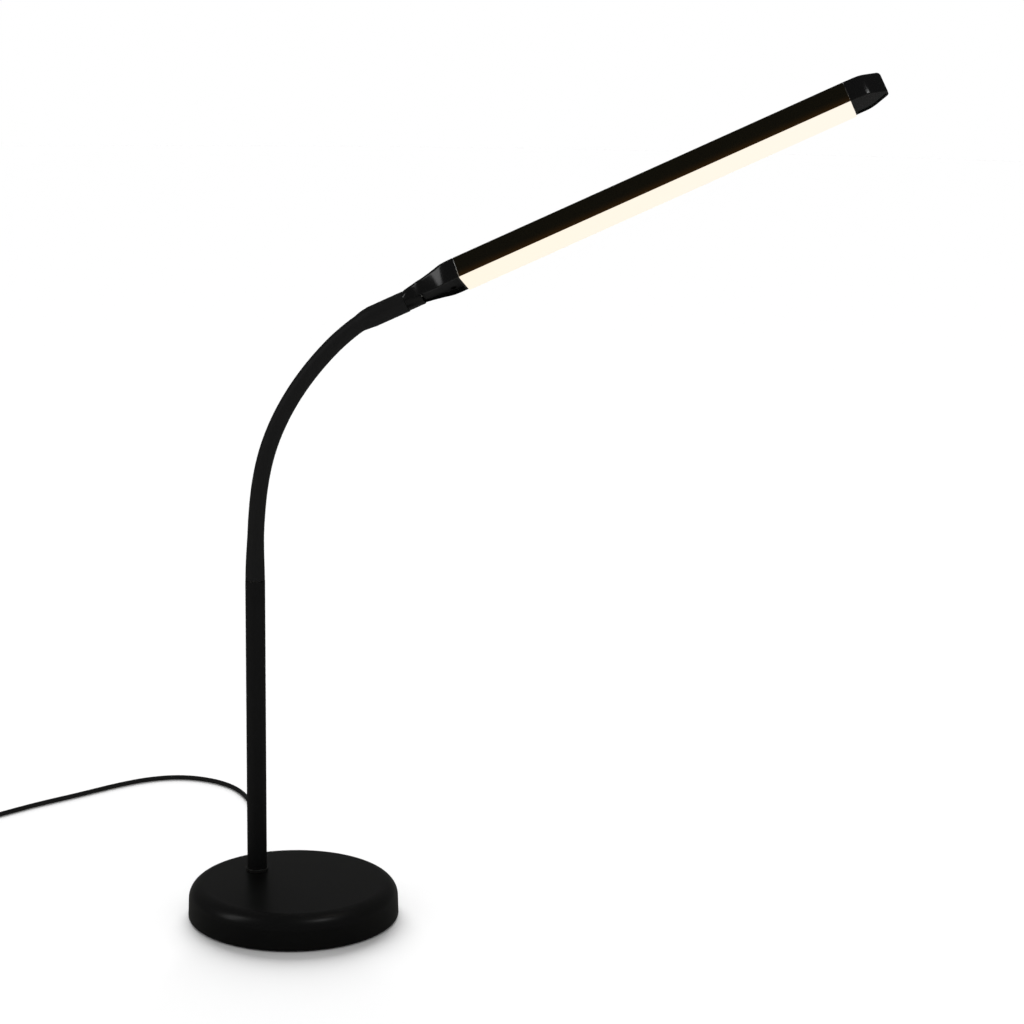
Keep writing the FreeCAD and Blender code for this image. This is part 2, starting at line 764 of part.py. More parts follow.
def root_lead():
    point, heading = arm_joints()[0]
    low = TUBE_TOP_Z - SPIGOT_L
    lead = cylinder(LEAD_R, low, TUBE_TOP_Z + ROOT_FLANGE_T, TUBE_X, TUBE_Y).fuse(root_rod(LEAD_R))
    return lead.fuse(dome(0.0, LEAD_R, point, heading)).removeSplitter()


# Tip of the arm: fitting, boot and lead


def tip_bend():
    point, heading = arm_joints()[-1]
    return point, heading, TIP_BEND_L, TIP_TURN


def tip_end():
    """End face of the arm and its heading, where the neck turns."""
    point, heading = arm_joints()[-1]
    bend_end = after_arc(point, heading, TIP_BEND_L, TIP_TURN)
    return after_arc(bend_end[0], bend_end[1], TIP_STRAIGHT_L, 0)


def tip_rod(radius, beyond=0.0):
    point, heading, length, turn = tip_bend()
    bend = rod_on_arc(point, heading, length, turn, radius)
    bend_end = after_arc(point, heading, length, turn)
    straight = rod_on_arc(bend_end[0], bend_end[1], TIP_STRAIGHT_L + beyond, 0, radius)
    return bend.fuse(straight)


def tip_cup():
    return Part.makeSphere(CUP_R, arm_joints()[-1][0])


def tip_fitting():
    end, heading = tip_end()
    spigot = rod_on_arc(end, heading, TIP_SPIGOT_L, 0, TIP_SPIGOT_R)
    fitting = tip_rod(CORE_R - FIT).fuse(spigot).cut(tip_rod(LEAD_BORE_R, TIP_SPIGOT_L + 1))
    return fitting.cut(tip_cup()).removeSplitter()


def tip_boot():
    point, heading, length, turn = tip_bend()
    stations = []
    for share, swollen in TIP_SWELL:
        place = after_arc(point, heading, length * share, turn * share)
        stations.append((place[0], place[1], between(SLEEVE_R, TIP_BOOT_R, swollen)))
    end, end_heading = tip_end()
    bend_end = stations[-1]
    boot = boot_on(stations)
    boot = boot.fuse(rod_on_arc(bend_end[0], bend_end[1], TIP_STRAIGHT_L - SLIP, 0, TIP_BOOT_R))
    return boot.cut(tip_rod(CORE_R, 1)).cut(tip_cup()).removeSplitter()


def tip_lead():
    return tip_rod(LEAD_R, TIP_SPIGOT_L).cut(tip_cup()).removeSplitter()


# Head: every piece is made in the head's frame, then put on the end of the arm


def head_placement():
    end, heading = tip_end()
    along = heading_vector(heading)
    top = heading_vector(heading + 90)
    roll = math.radians(HEAD_ROLL)
    up = top * math.cos(roll) + Vector(0, 1, 0) * math.sin(roll)
    side = up.cross(along)
    origin = end + along * NECK_L - up * NECK_AXIS_Z
    turn = FreeCAD.Matrix(along.x, side.x, up.x, origin.x,
                          along.y, side.y, up.y, origin.y,
                          along.z, side.z, up.z, origin.z,
                          0, 0, 0, 1)
    return FreeCAD.Placement(turn)


def on_head(shape):
    shape.Placement = head_placement().multiply(shape.Placement)
    return shape


def rounded_section(x, half_width, low, high, low_r, high_r):
    """Closed outline across the head: four lines and four corner arcs."""
    def point(y, z):
        return Vector(x, y, z)

    def corner(y, z, radius, degrees):
        angle = math.radians(degrees)
        return point(y + radius * math.cos(angle), z + radius * math.sin(angle))

    corners = [
        (half_width - low_r, low + low_r, low_r, -90),
        (half_width - high_r, high - high_r, high_r, 0),
        (-half_width + high_r, high - high_r, high_r, 90),
        (-half_width + low_r, low + low_r, low_r, 180),
    ]
    edges = []
    previous = corner(*corners[-1][:3], corners[-1][3] + 90)
    for y, z, radius, start in corners:
        begin = corner(y, z, radius, start)
        edges.append(Part.LineSegment(previous, begin).toShape())
        previous = corner(y, z, radius, start + 90)
        edges.append(Part.Arc(begin, corner(y, z, radius, start + 45), previous).toShape())
    return Part.Wire(edges)


def neck_stations():
    """Distance from the seam, half width, underside, top, lower and upper corner radius."""
    stations = []
    end_round = NECK_END_R - SEAM
    for share, grown in NECK_SWELL + [(SEAM / NECK_L, 1.0)]:
        half_width = between(NECK_END_R, BAR_W / 2, grown)
        low = between(NECK_AXIS_Z - NECK_END_R, 0.0, grown)
        high = between(NECK_AXIS_Z + NECK_END_R, BAR_H, grown)
        low_r = between(end_round, NECK_EDGE_R, grown)
        high_r = between(end_round, BAR_TOP_R, grown)
        stations.append((-NECK_L * share, half_width, low, high, low_r, high_r))
    return stations


def neck_body(inset, drop=0.0, first=0):
    """The neck's outline drawn in by an inset; drop lowers the underside to open it downwards."""
    wires = []
    for x, half_width, low, high, low_r, high_r in neck_stations()[first:]:
        low_here = low + inset - drop
        wires.append(rounded_section(x, half_width - inset, low_here, high - inset,
                                     max(low_r - inset, 0.5), max(high_r - inset, 0.8)))
    return Part.makeLoft(wires, True)


def neck_cavity(shrink=0.0):
    cavity = neck_body(NECK_WALL + shrink, drop=2 * BAR_H, first=1)
    return cavity.common(box(-NECK_POCKET_L + shrink, -NECK_WALL - shrink, -BAR_W, BAR_W, -BAR_H, BAR_H))


def channel_spigot(start, end):
    """Block that slides into the light channel above the ribs."""
    low = BOARD_Z + BOARD_T + RIB_T + 2 * FIT + SLIP
    half = BAR_W / 2 - BAR_WALL - SLIP
    return box(start, end, -half, half, low, BAR_H - BAR_ROOF - SLIP)


def neck_shell():
    shell = neck_body(0.0)
    shell = shell.cut(neck_cavity())
    bore_r = TIP_SPIGOT_R + NECK_BUSH_WALL + FIT
    bore = Part.makeCylinder(bore_r, NECK_L, Vector(-NECK_L - 1, 0, NECK_AXIS_Z), Vector(1, 0, 0))
    shell = shell.cut(bore.common(box(-2 * NECK_L, NECK_WALL - NECK_POCKET_L, -BAR_W, BAR_W, -BAR_H, BAR_H)))
    for side in (-1, 1):
        y = side * LID_BOSS_Y
        boss = cylinder(LID_BOSS_R, LID_TOP_Z, BAR_H - NECK_WALL / 2, LID_BOSS_X, y)
        shell = shell.fuse(boss.common(neck_body(0.0)))
        shell = shell.cut(cylinder(LID_SCREW_R + THREAD_FIT, 0, LID_TOP_Z + LID_SCREW_L, LID_BOSS_X, y))
    shell = shell.fuse(channel_spigot(-NECK_WALL, SPIGOT_DEPTH))
    shell = shell.cut(cylinder(BUTTON_R + SLIP, BAR_H / 2, 2 * BAR_H, BUTTON_X))
    lead_hole = Part.makeCylinder(LED_LEAD_R + SLIP, 3 * NECK_WALL, Vector(-2 * NECK_WALL, 0, led_lead_z()),
                                  Vector(1, 0, 0))
    return shell.cut(lead_hole).removeSplitter()


def neck_lid():
    plate = neck_cavity(FIT * 2).common(box(-NECK_L, 0, -BAR_W, BAR_W, NECK_POCKET, LID_TOP_Z))
    for x in (PCB_X0 + 2 * LID_POST_R, PCB_X1 - 2 * LID_POST_R):
        plate = plate.fuse(cylinder(LID_POST_R, LID_TOP_Z - LID_T / 2, LID_TOP_Z + PCB_LIFT, x))
    for side in (-1, 1):
        y = side * LID_BOSS_Y
        plate = plate.cut(cylinder(LID_SCREW_R + SLIP, 0, BAR_H, LID_BOSS_X, y))
        plate = plate.cut(cylinder(LID_SCREW_HEAD_R + FIT, 0, NECK_POCKET + LID_SCREW_HEAD_T, LID_BOSS_X, y))
    return plate.cut(lead_rod(LEAD_R + SLIP)).removeSplitter()


def lid_screws():
    screws = []
    for side in (-1, 1):
        y = side * LID_BOSS_Y
        head = cylinder(LID_SCREW_HEAD_R, NECK_POCKET, NECK_POCKET + LID_SCREW_HEAD_T, LID_BOSS_X, y)
        shank = cylinder(LID_SCREW_R, NECK_POCKET, LID_TOP_Z + LID_SCREW_L, LID_BOSS_X, y)
        long = LID_SCREW_SLOT_L / 2
        short = LID_SCREW_SLOT_W / 2
        slot_z = NECK_POCKET + LID_SCREW_HEAD_T / 2
        slot = box(LID_BOSS_X - long, LID_BOSS_X + long, y - short, y + short, 0, slot_z)
        screws.append(head.fuse(shank).cut(slot).removeSplitter())
    return Part.makeCompound(screws)


def neck_bush():
    x0 = -NECK_L + 2 * SLIP
    axis = Vector(1, 0, 0)
    outside = Part.makeCylinder(TIP_SPIGOT_R + NECK_BUSH_WALL, NECK_BUSH_L, Vector(x0, 0, NECK_AXIS_Z), axis)
    inside = Part.makeCylinder(TIP_SPIGOT_R + FIT, NECK_BUSH_L + 2, Vector(x0 - 1, 0, NECK_AXIS_Z), axis)
    return outside.cut(inside)


def driver_board():
    return box(PCB_X0, PCB_X1, -PCB_W / 2, PCB_W / 2, PCB_Z, PCB_TOP_Z)


def switch_body():
    top = flange_top_z() - BUTTON_FLANGE_T - BUTTON_TRAVEL - SLIP
    body = box(BUTTON_X - SWITCH_W / 2, BUTTON_X + SWITCH_W / 2, -SWITCH_W / 2, SWITCH_W / 2, PCB_TOP_Z, top)
    return body.cut(cylinder(STEM_R + SLIP, PCB_TOP_Z + SLIP, BAR_H, BUTTON_X))


def neck_roof_z(x):
    """Height of the neck's top at a distance along it, between its stations."""
    stations = [(row[0], row[3]) for row in neck_stations()]
    for (x0, z0), (x1, z1) in zip(stations, stations[1:]):
        if x0 <= x <= x1:
            return z0 + (z1 - z0) * (x - x0) / (x1 - x0)
    return BAR_H


def flange_top_z():
    """Top of the button's flange, just under the lowest part of the neck's roof above it."""
    return neck_roof_z(BUTTON_X - BUTTON_R - BUTTON_FLANGE_W) - NECK_WALL - SLIP


def power_button():
    roof = neck_roof_z(BUTTON_X)
    flange_top = flange_top_z()
    cap = cylinder(BUTTON_R, flange_top - BUTTON_FLANGE_T, roof + BUTTON_PROUD, BUTTON_X)
    top_rim = [e for e in cap.Edges if e.BoundBox.ZMin > roof + BUTTON_PROUD - 0.01]
    cap = cap.makeFillet(BUTTON_EDGE_R, top_rim)
    flange = cylinder(BUTTON_R + BUTTON_FLANGE_W, flange_top - BUTTON_FLANGE_T, flange_top, BUTTON_X)
    stem_foot = PCB_TOP_Z + SLIP + BUTTON_TRAVEL + SLIP
    stem = cylinder(STEM_R, stem_foot, flange_top, BUTTON_X)
    return cap.fuse(flange).fuse(stem).removeSplitter()


def lead_rod(radius):
    """Rod from the end of the arm's spigot up to the edge of the driver board."""
    start = Vector(-NECK_L + TIP_SPIGOT_L + SLIP, 0, NECK_AXIS_Z)
    end = Vector(PCB_X0 - FIT, 0, PCB_Z + PCB_T / 2)
    return Part.makeCylinder(radius, (end - start).Length, start, end - start)


def head_lead():
    rod = lead_rod(LEAD_R)
    return rod.common(box(-NECK_L, PCB_X0 - FIT, -BAR_W, BAR_W, -BAR_H, 2 * BAR_H))


def led_lead_z():
    return PCB_TOP_Z + LED_LEAD_R + FIT


def led_lead():
    start = PCB_X1 - LED_LEAD_LAP
    end = 2 * SEAM - FIT
    return Part.makeCylinder(LED_LEAD_R, end - start, Vector(start, 0, led_lead_z()), Vector(1, 0, 0))


# Light bar: channel, board, chips, diffuser and end cap


def light_channel():
    outside = Part.Face(rounded_section(SEAM, BAR_W / 2, -BAR_TOP_R, BAR_H, BAR_TOP_R / 2, BAR_TOP_R))
    channel = outside.extrude(Vector(BAR_L - 2 * SEAM, 0, 0))
    channel = channel.cut(box(-1, BAR_L + 1, -BAR_W, BAR_W, -BAR_W, 0))
    half = BAR_W / 2 - BAR_WALL
    channel = channel.cut(box(-1, BAR_L + 1, -half, half, -1, BAR_H - BAR_ROOF))
    for side in (-1, 1):
        for low in (BOARD_Z - FIT - RIB_T, BOARD_Z + BOARD_T + FIT):
            y0, y1 = sorted((side * (half + 0.1), side * (half - RIB_W)))
            channel = channel.fuse(box(SEAM, BAR_L - SEAM, y0, y1, low, low + RIB_T))
    return channel.removeSplitter()


def led_board():
    return box(2 * SEAM, BAR_L - 2 * SEAM, -BOARD_W / 2, BOARD_W / 2, BOARD_Z, BOARD_Z + BOARD_T)


def led_chips():
    count = int((BAR_L - 2 * CHIP_PITCH) / CHIP_PITCH)
    start = (BAR_L - (count - 1) * CHIP_PITCH) / 2
    half = CHIP_SIZE / 2
    chips = []
    for index in range(count):
        x = start + index * CHIP_PITCH
        chips.append(box(x - half, x + half, -half, half, BOARD_Z - CHIP_T, BOARD_Z))
    return Part.makeCompound(chips)


def diffuser():
    half = BAR_W / 2 - SEAM
    lens = box(SEAM, BAR_L - SEAM, -half, half, -DIFFUSER_PROUD, -FIT)
    low_edges = [e for e in lens.Edges
                 if e.BoundBox.ZMax < -DIFFUSER_PROUD + 0.01 and e.Length > BAR_L / 2]
    lens = lens.makeFillet(DIFFUSER_EDGE_R, low_edges)
    leg_out = BAR_W / 2 - BAR_WALL - FIT
    for side in (-1, 1):
        y0, y1 = sorted((side * leg_out, side * (leg_out - DIFFUSER_LEG_T)))
        lens = lens.fuse(box(SEAM, BAR_L - SEAM, y0, y1, -DIFFUSER_PROUD / 2, DIFFUSER_LEG_H))
    return lens.removeSplitter()


def cap_plan(inset):
    """Plan of the end cap: straight sides, then a taper to a short blunt nose."""
    half = BAR_W / 2 - inset
    nose = CAP_NOSE_W / 2 - inset / 2
    x0 = BAR_L + SEAM
    x1 = BAR_L + CAP_STRAIGHT_L
    x2 = BAR_L + CAP_L - inset
    corners = [(x0, -half, 0), (x1, -half, 0), (x2, -nose, 0), (x2, nose, 0), (x1, half, 0), (x0, half, 0)]
    return Part.Face(polygon(corners))


def upright_edges(shape, low_x, high_x):
    chosen = []
    for edge in shape.Edges:
        ends = edge.BoundBox
        if ends.XLength < 0.01 and ends.YLength < 0.01 and low_x < ends.XMin < high_x:
            chosen.append(edge)
    return chosen


def cap_block(inset, low, high):
    block = cap_plan(inset).extrude(Vector(0, 0, high - low))
    block.translate(Vector(0, 0, low))
    shoulders = upright_edges(block, BAR_L + 1, BAR_L + CAP_STRAIGHT_L + 1)
    block = block.makeFillet(max(CAP_SHOULDER_ROUND - inset, 1.0), shoulders)
    nose = upright_edges(block, BAR_L + CAP_L - inset - 1, BAR_L + CAP_L + 1)
    return block.makeFillet(max(CAP_NOSE_ROUND - inset, 0.8), nose)


def end_cap():
    cap = cap_block(0.0, 0.0, BAR_H)
    top = [e for e in cap.Edges if e.BoundBox.ZMin > BAR_H - 0.01 and e.BoundBox.XMax > BAR_L + 1]
    cap = cap.makeFillet(BAR_TOP_R, top)
    floor_top = CAP_POCKET + CAP_WALL
    pocket = cap_block(CAP_WALL, -1.0, CAP_POCKET).common(
        box(BAR_L + CAP_WALL, BAR_L + CAP_L, -BAR_W, BAR_W, -2, BAR_H))
    hollow = cap_block(2 * CAP_WALL, floor_top, BAR_H - 2 * CAP_WALL)
    cap = cap.cut(pocket).cut(hollow)
    return cap.fuse(channel_spigot(BAR_L - SPIGOT_DEPTH, BAR_L + 4 * CAP_WALL)).removeSplitter()


def main():
    os.makedirs("parts", exist_ok=True)
    save("base_cover", base_cover())
    save("base_plate", base_plate())
    save("base_pad", base_pad())
    save("base_weight", base_weight())
    save("base_screws", base_screws())
    save("riser_tube", riser_tube())
    save("foot_collar", foot_collar())
    save("tube_washer", tube_washer())
    save("tube_nut", tube_nut())
    save("cord_relief", cord_relief())
    save("inner_cord", inner_cord())
    save("cord_run", cord_run())
    save("cord_coil", cord_coil())
    save("cord_tail", cord_tail())
    save("plug_grip", plug_grip())
    save("plug_shell", plug_shell())
    save("plug_insert", plug_insert())
    save("swivel_bush", swivel_bush())
    save("root_fitting", root_fitting())
    save("root_boot", root_boot())
    save("root_lead", root_lead())
    for index in range(len(SECTION_TURNS)):
        number = str(index + 1)
        save("arm_core_" + number, arm_core(index))
        save("arm_sleeve_" + number, arm_sleeve(index))
        save("arm_lead_" + number, arm_lead(index))
    save("tip_fitting", tip_fitting())
    save("tip_boot", tip_boot())
    save("tip_lead", tip_lead())
    save("neck_bush", on_head(neck_bush()))
    save("neck_shell", on_head(neck_shell()))
    save("neck_lid", on_head(neck_lid()))
    save("lid_screws", on_head(lid_screws()))
    save("driver_board", on_head(driver_board()))
    save("switch_body", on_head(switch_body()))
    save("power_button", on_head(power_button()))
    save("head_lead", on_head(head_lead()))
    save("led_lead", on_head(led_lead()))
    save("light_channel", on_head(light_channel()))
    save("led_board", on_head(led_board()))
    save("led_chips", on_head(led_chips()))
    save("diffuser", on_head(diffuser()))
    save("end_cap", on_head(end_cap()))


main()
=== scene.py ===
"""A gooseneck desk lamp: the surfaces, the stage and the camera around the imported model."""
import json
import math

import bmesh
import bpy
from mathutils import Matrix, Vector


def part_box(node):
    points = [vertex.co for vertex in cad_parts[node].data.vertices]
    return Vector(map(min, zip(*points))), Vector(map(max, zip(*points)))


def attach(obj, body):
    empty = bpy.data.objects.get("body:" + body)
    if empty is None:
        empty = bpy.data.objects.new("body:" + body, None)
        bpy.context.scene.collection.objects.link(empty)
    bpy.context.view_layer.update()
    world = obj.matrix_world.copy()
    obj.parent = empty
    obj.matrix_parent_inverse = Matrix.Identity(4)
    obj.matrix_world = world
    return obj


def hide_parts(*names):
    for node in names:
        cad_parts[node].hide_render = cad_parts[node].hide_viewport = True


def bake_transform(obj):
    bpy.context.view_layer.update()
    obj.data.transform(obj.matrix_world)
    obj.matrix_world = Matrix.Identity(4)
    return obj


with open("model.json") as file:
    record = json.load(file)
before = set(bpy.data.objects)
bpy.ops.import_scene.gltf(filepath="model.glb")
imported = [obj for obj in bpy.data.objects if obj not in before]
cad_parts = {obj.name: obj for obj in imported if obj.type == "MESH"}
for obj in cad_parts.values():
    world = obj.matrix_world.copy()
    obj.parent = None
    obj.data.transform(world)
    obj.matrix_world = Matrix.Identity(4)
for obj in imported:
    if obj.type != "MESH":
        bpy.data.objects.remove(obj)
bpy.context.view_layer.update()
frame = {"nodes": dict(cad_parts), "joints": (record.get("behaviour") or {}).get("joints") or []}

# Camera
# A long lens stands about two metres in front of the lamp, a little to its right, and looks
# slightly down on it. The values put the lamp in the picture as the photograph has it.
CAMERA_PLACE = (0.2842, -1.8788, 0.7217)
CAMERA_TURN = 4.0
CAMERA_PITCH = 12.634
CAMERA_ROLL = 0.772
LENS_MM = 98.44
UP = Vector((0, 0, 1))

camera_data = bpy.data.cameras.new("camera")
camera_data.lens = LENS_MM
camera_data.sensor_width = 36.0
camera = bpy.data.objects.new("camera", camera_data)
bpy.context.scene.collection.objects.link(camera)
camera.matrix_world = (
    Matrix.Translation(CAMERA_PLACE)
    @ Matrix.Rotation(math.radians(CAMERA_TURN), 4, "Z")
    @ Matrix.Rotation(math.radians(90 - CAMERA_PITCH), 4, "X")
    @ Matrix.Rotation(math.radians(CAMERA_ROLL), 4, "Z")
)
bpy.context.scene.camera = camera


# Cord
# A thin two-core lead in a satin black PVC jacket. It leaves the back of the base through its
# relief, lies loose on the table, and its spare length is wound in a flat coil out of view.
class Wire:
    """One output of a shader node. Sums and products with wires or numbers add Math nodes."""

    def __init__(self, tree, socket):
        self.tree = tree
        self.socket = socket

    def maths(self, operation, first, second):
        node = self.tree.nodes.new("ShaderNodeMath")
        node.operation = operation
        for socket, value in zip(node.inputs, (first, second)):
            connect(self.tree, socket, value)
        return Wire(self.tree, node.outputs[0])

    def __add__(self, other):
        return self.maths("ADD", self, other)

    def __sub__(self, other):
        return self.maths("SUBTRACT", self, other)

    def __rsub__(self, other):
        return self.maths("SUBTRACT", other, self)

    def __mul__(self, other):
        return self.maths("MULTIPLY", self, other)

    def __truediv__(self, other):
        return self.maths("DIVIDE", self, other)

    __radd__ = __add__
    __rmul__ = __mul__


def connect(tree, socket, value):
    if isinstance(value, Wire):
        tree.links.new(value.socket, socket)
    else:
        socket.default_value = value


class Shading:
    """The nodes of a material or a sky, added by node() and shown by show()."""

    def __init__(self, owner, output):
        owner.use_nodes = True
        self.tree = owner.node_tree
        self.output = self.tree.nodes[output]

    def node(self, kind, settings=None, sockets=None):
        node = self.tree.nodes.new(kind)
        for name, value in (settings or {}).items():
            setattr(node, name, value)
        for name, value in (sockets or {}).items():
            if isinstance(name, int):
                socket = node.inputs[name]
            else:
                socket = next(s for s in node.inputs if s.name == name and s.enabled)
            connect(self.tree, socket, value)
        return {s.name: Wire(self.tree, s) for s in node.outputs if s.enabled}

    def show(self, shader):
        connect(self.tree, self.output.inputs["Surface"], shader)


class Finish(Shading):
    """A surface finish: a material with one Principled shader."""

    def __init__(self, name, **uniform):
        self.material = bpy.data.materials.new(name)
        super().__init__(self.material, "Material Output")
        self.shader = self.tree.nodes["Principled BSDF"]
        for socket, value in uniform.items():
            self.set(socket.replace("_", " "), value)
        self.place = self.node("ShaderNodeTexCoord")["Object"]

    def set(self, socket, value):
        connect(self.tree, self.shader.inputs[socket], value)

    def grain(self, size, detail=2.0, place=None):
        """Noise from 0 to 1 whose spots are about the given size, in metres."""
        sockets = {"Vector": place or self.place, "Scale": 1 / size, "Detail": detail}
        return self.node("ShaderNodeTexNoise", {"noise_dimensions": "3D"}, sockets)["Fac"]

    def between(self, low, high, share):
        """A colour between two colours, or a wire's colour and another, by a wire from 0 to 1."""
        first = low if isinstance(low, Wire) else (*low, 1)
        sockets = {"Factor": share, "A": first, "B": (*high, 1)}
        return self.node("ShaderNodeMix", {"data_type": "RGBA"}, sockets)["Result"]

    def colour(self, low, high, share):
        """Sets the colour to one that varies between two by a wire from 0 to 1."""
        self.set("Base Color", self.between(low, high, share))

    def relief(self, height, depth):
        """Bumps the surface by a height from 0 to 1 that stands for a depth in metres."""
        sockets = {"Height": height, "Distance": depth, "Strength": 1.0}
        self.set("Normal", self.node("ShaderNodeBump", {}, sockets)["Normal"])


def deselect():
    if bpy.context.object and bpy.context.object.mode != "OBJECT":
        bpy.ops.object.mode_set(mode="OBJECT")
    bpy.ops.object.select_all(action="DESELECT")


def settle(piece, finish, body, slot, *nodes):
    """Gives a finished mesh its material, its body and the nodes that it stands for."""
    piece.data.materials.clear()
    piece.data.materials.append(finish.material)
    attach(piece, body)
    if nodes:
        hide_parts(*nodes)


def dress(finish, *nodes):
    """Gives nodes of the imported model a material."""
    for node in nodes:
        mesh = frame["nodes"][node].data
        mesh.materials.clear()
        mesh.materials.append(finish.material)


CORD_D = 0.0035
CORD_EXIT_DEGREES = 109.5
CORD_EXIT_Z = 0.007
RELIEF_END = 0.097
CORD_FIRST_RUN = 0.013
CORD_LIE_Z = CORD_D / 2
CORD_ROUTE = [
    (-0.0435, 0.1245, 0.0030),
    (-0.0510, 0.1530, CORD_LIE_Z),
    (-0.0580, 0.1900, CORD_LIE_Z),
    (-0.0655, 0.2240, CORD_LIE_Z),
    (-0.0770, 0.2550, CORD_LIE_Z),
    (-0.0925, 0.2780, CORD_LIE_Z),
    (-0.1135, 0.2920, CORD_LIE_Z),
    (-0.1380, 0.2970, CORD_LIE_Z),
    (-0.1635, 0.2880, CORD_LIE_Z),
    (-0.1870, 0.2680, CORD_LIE_Z),
    (-0.2120, 0.2405, CORD_LIE_Z),
    (-0.2385, 0.2145, CORD_LIE_Z),
    (-0.2620, 0.1865, CORD_LIE_Z),
    (-0.2800, 0.1640, CORD_LIE_Z),
]
COIL_PITCH = 0.004
COIL_TURNS = 4
COIL_OUTER_R = 0.028
COIL_STEPS = 8
TAIL_RUNS = [(0.014, 0.0, 0.0), (0.016, 0.009, 1.0)]
PLUG_GRIP_T = 0.008
FIT = 0.00005

exit_way = Matrix.Rotation(math.radians(CORD_EXIT_DEGREES), 3, "Z") @ Vector((1, 0, 0))
cord_exit = exit_way * RELIEF_END + UP * CORD_EXIT_Z
cord_points = [cord_exit, cord_exit + exit_way * CORD_FIRST_RUN] + [Vector(p) for p in CORD_ROUTE]
coil_way = (cord_points[-1] - cord_points[-2]).normalized()
coil_inward = coil_way.cross(UP)
coil_at = cord_points[-1] + coil_way * CORD_D
coil_side = 1


def half_turn(radius, lift=0.0):
    """Adds a half turn of the coil, drawn a little large because the curve cuts its corners."""
    global coil_at, coil_side
    drawn = radius / math.cos(math.pi / COIL_STEPS / 2)
    centre = coil_at + coil_inward * radius * coil_side
    for step in range(COIL_STEPS):
        angle = math.pi * (step + 0.5) / COIL_STEPS
        around = coil_way * math.sin(angle) - coil_inward * math.cos(angle)
        rise = UP * (lift * (1 - math.cos(angle)) / 2)
        cord_points.append(centre + around * drawn * coil_side + rise)
    coil_at = coil_at + coil_inward * (2 * radius * coil_side) + UP * lift
    coil_side = -coil_side


coil_radii = [COIL_OUTER_R - COIL_PITCH / 2 * index for index in range(2 * COIL_TURNS)]
for radius in coil_radii:
    half_turn(radius)
half_turn(coil_radii[-1] - COIL_PITCH / 2, COIL_PITCH)
for radius in reversed(coil_radii[1:]):
    half_turn(radius)
tail_way = coil_way * coil_side
tail_at = coil_at + tail_way * CORD_D
tail_drop = tail_at.z - PLUG_GRIP_T / 2
cord_points.append(tail_at)
for ahead, aside, share in TAIL_RUNS:
    run = tail_way * ahead + tail_way.cross(UP) * aside - UP * (tail_drop * share)
    cord_points.append(cord_points[-1] + run)
plug_way = cord_points[-1] - cord_points[-2]
plug_way.z = 0.0
plug_way.normalize()
plug_at = cord_points[-1] + plug_way * TAIL_RUNS[-1][0]
cord_points.append(plug_at)

cord_curve = bpy.data.curves.new("power_cord", "CURVE")
cord_curve.dimensions = "3D"
cord_curve.bevel_depth = CORD_D / 2
cord_curve.bevel_resolution = 5
cord_curve.resolution_u = 6
cord_curve.use_fill_caps = True
cord_line = cord_curve.splines.new("NURBS")
cord_line.points.add(len(cord_points) - 1)
for point, place in zip(cord_line.points, cord_points):
    point.co = (*place, 1.0)
cord_line.order_u = 3
cord_line.use_endpoint_u = True
power_cord = bpy.data.objects.new("power_cord", cord_curve)
bpy.context.scene.collection.objects.link(power_cord)

cord_pvc = Finish("cord_pvc", Specular_IOR_Level=0.35)
cord_pvc.colour((0.007, 0.007, 0.007), (0.014, 0.014, 0.013), cord_pvc.grain(0.02))
cord_pvc.set("Roughness", 0.42 + 0.16 * cord_pvc.grain(0.004))
cord_pvc.relief(cord_pvc.grain(0.0005), 0.00003)
settle(power_cord, cord_pvc, "stand", "cord_pvc", "cord_run", "cord_coil", "cord_tail")


# Strain relief
# A tapered sleeve of the same soft PVC, moulded on the cord. Its flange sits inside the wall
# of the base, and the grooves round it let it bend with the cord.
RELIEF_WALL = 0.0753
RELIEF_ROOT_R = 0.0040
RELIEF_TIP_R = 0.0025
RELIEF_NECK_R = 0.0029
RELIEF_FLANGE_R = 0.0034
RELIEF_INSIDE = 0.0714
RELIEF_FLANGE_T = 0.0015
RELIEF_GROOVES = 5
GROOVE_DEPTH = 0.0006
GROOVE_FLOOR_W = 0.0012
GROOVE_MOUTH_W = 0.0018
GROOVE_EDGE_R = 0.0001


def rounded_profile(corners, steps=6):
    """Points along an outline of (r, z, rounding) corners, with an arc at each corner that has one."""
    points = []
    for index, (r, z, rounding) in enumerate(corners):
        corner = Vector((r, z))
        if rounding == 0 or index in (0, len(corners) - 1):
            points.append(corner)
            continue
        back = Vector(corners[index - 1][:2]) - corner
        ahead = Vector(corners[index + 1][:2]) - corner
        half = back.angle(ahead) / 2
        start = corner + back.normalized() * rounding / math.tan(half)
        middle = corner + (back.normalized() + ahead.normalized()).normalized() * rounding / math.sin(half)
        first = start - middle
        turn = (math.pi - 2 * half) * (-1 if back.cross(ahead) > 0 else 1)
        for step in range(steps + 1):
            spin = Matrix.Rotation(turn * step / steps, 2)
            points.append(middle + spin @ first)
    return points


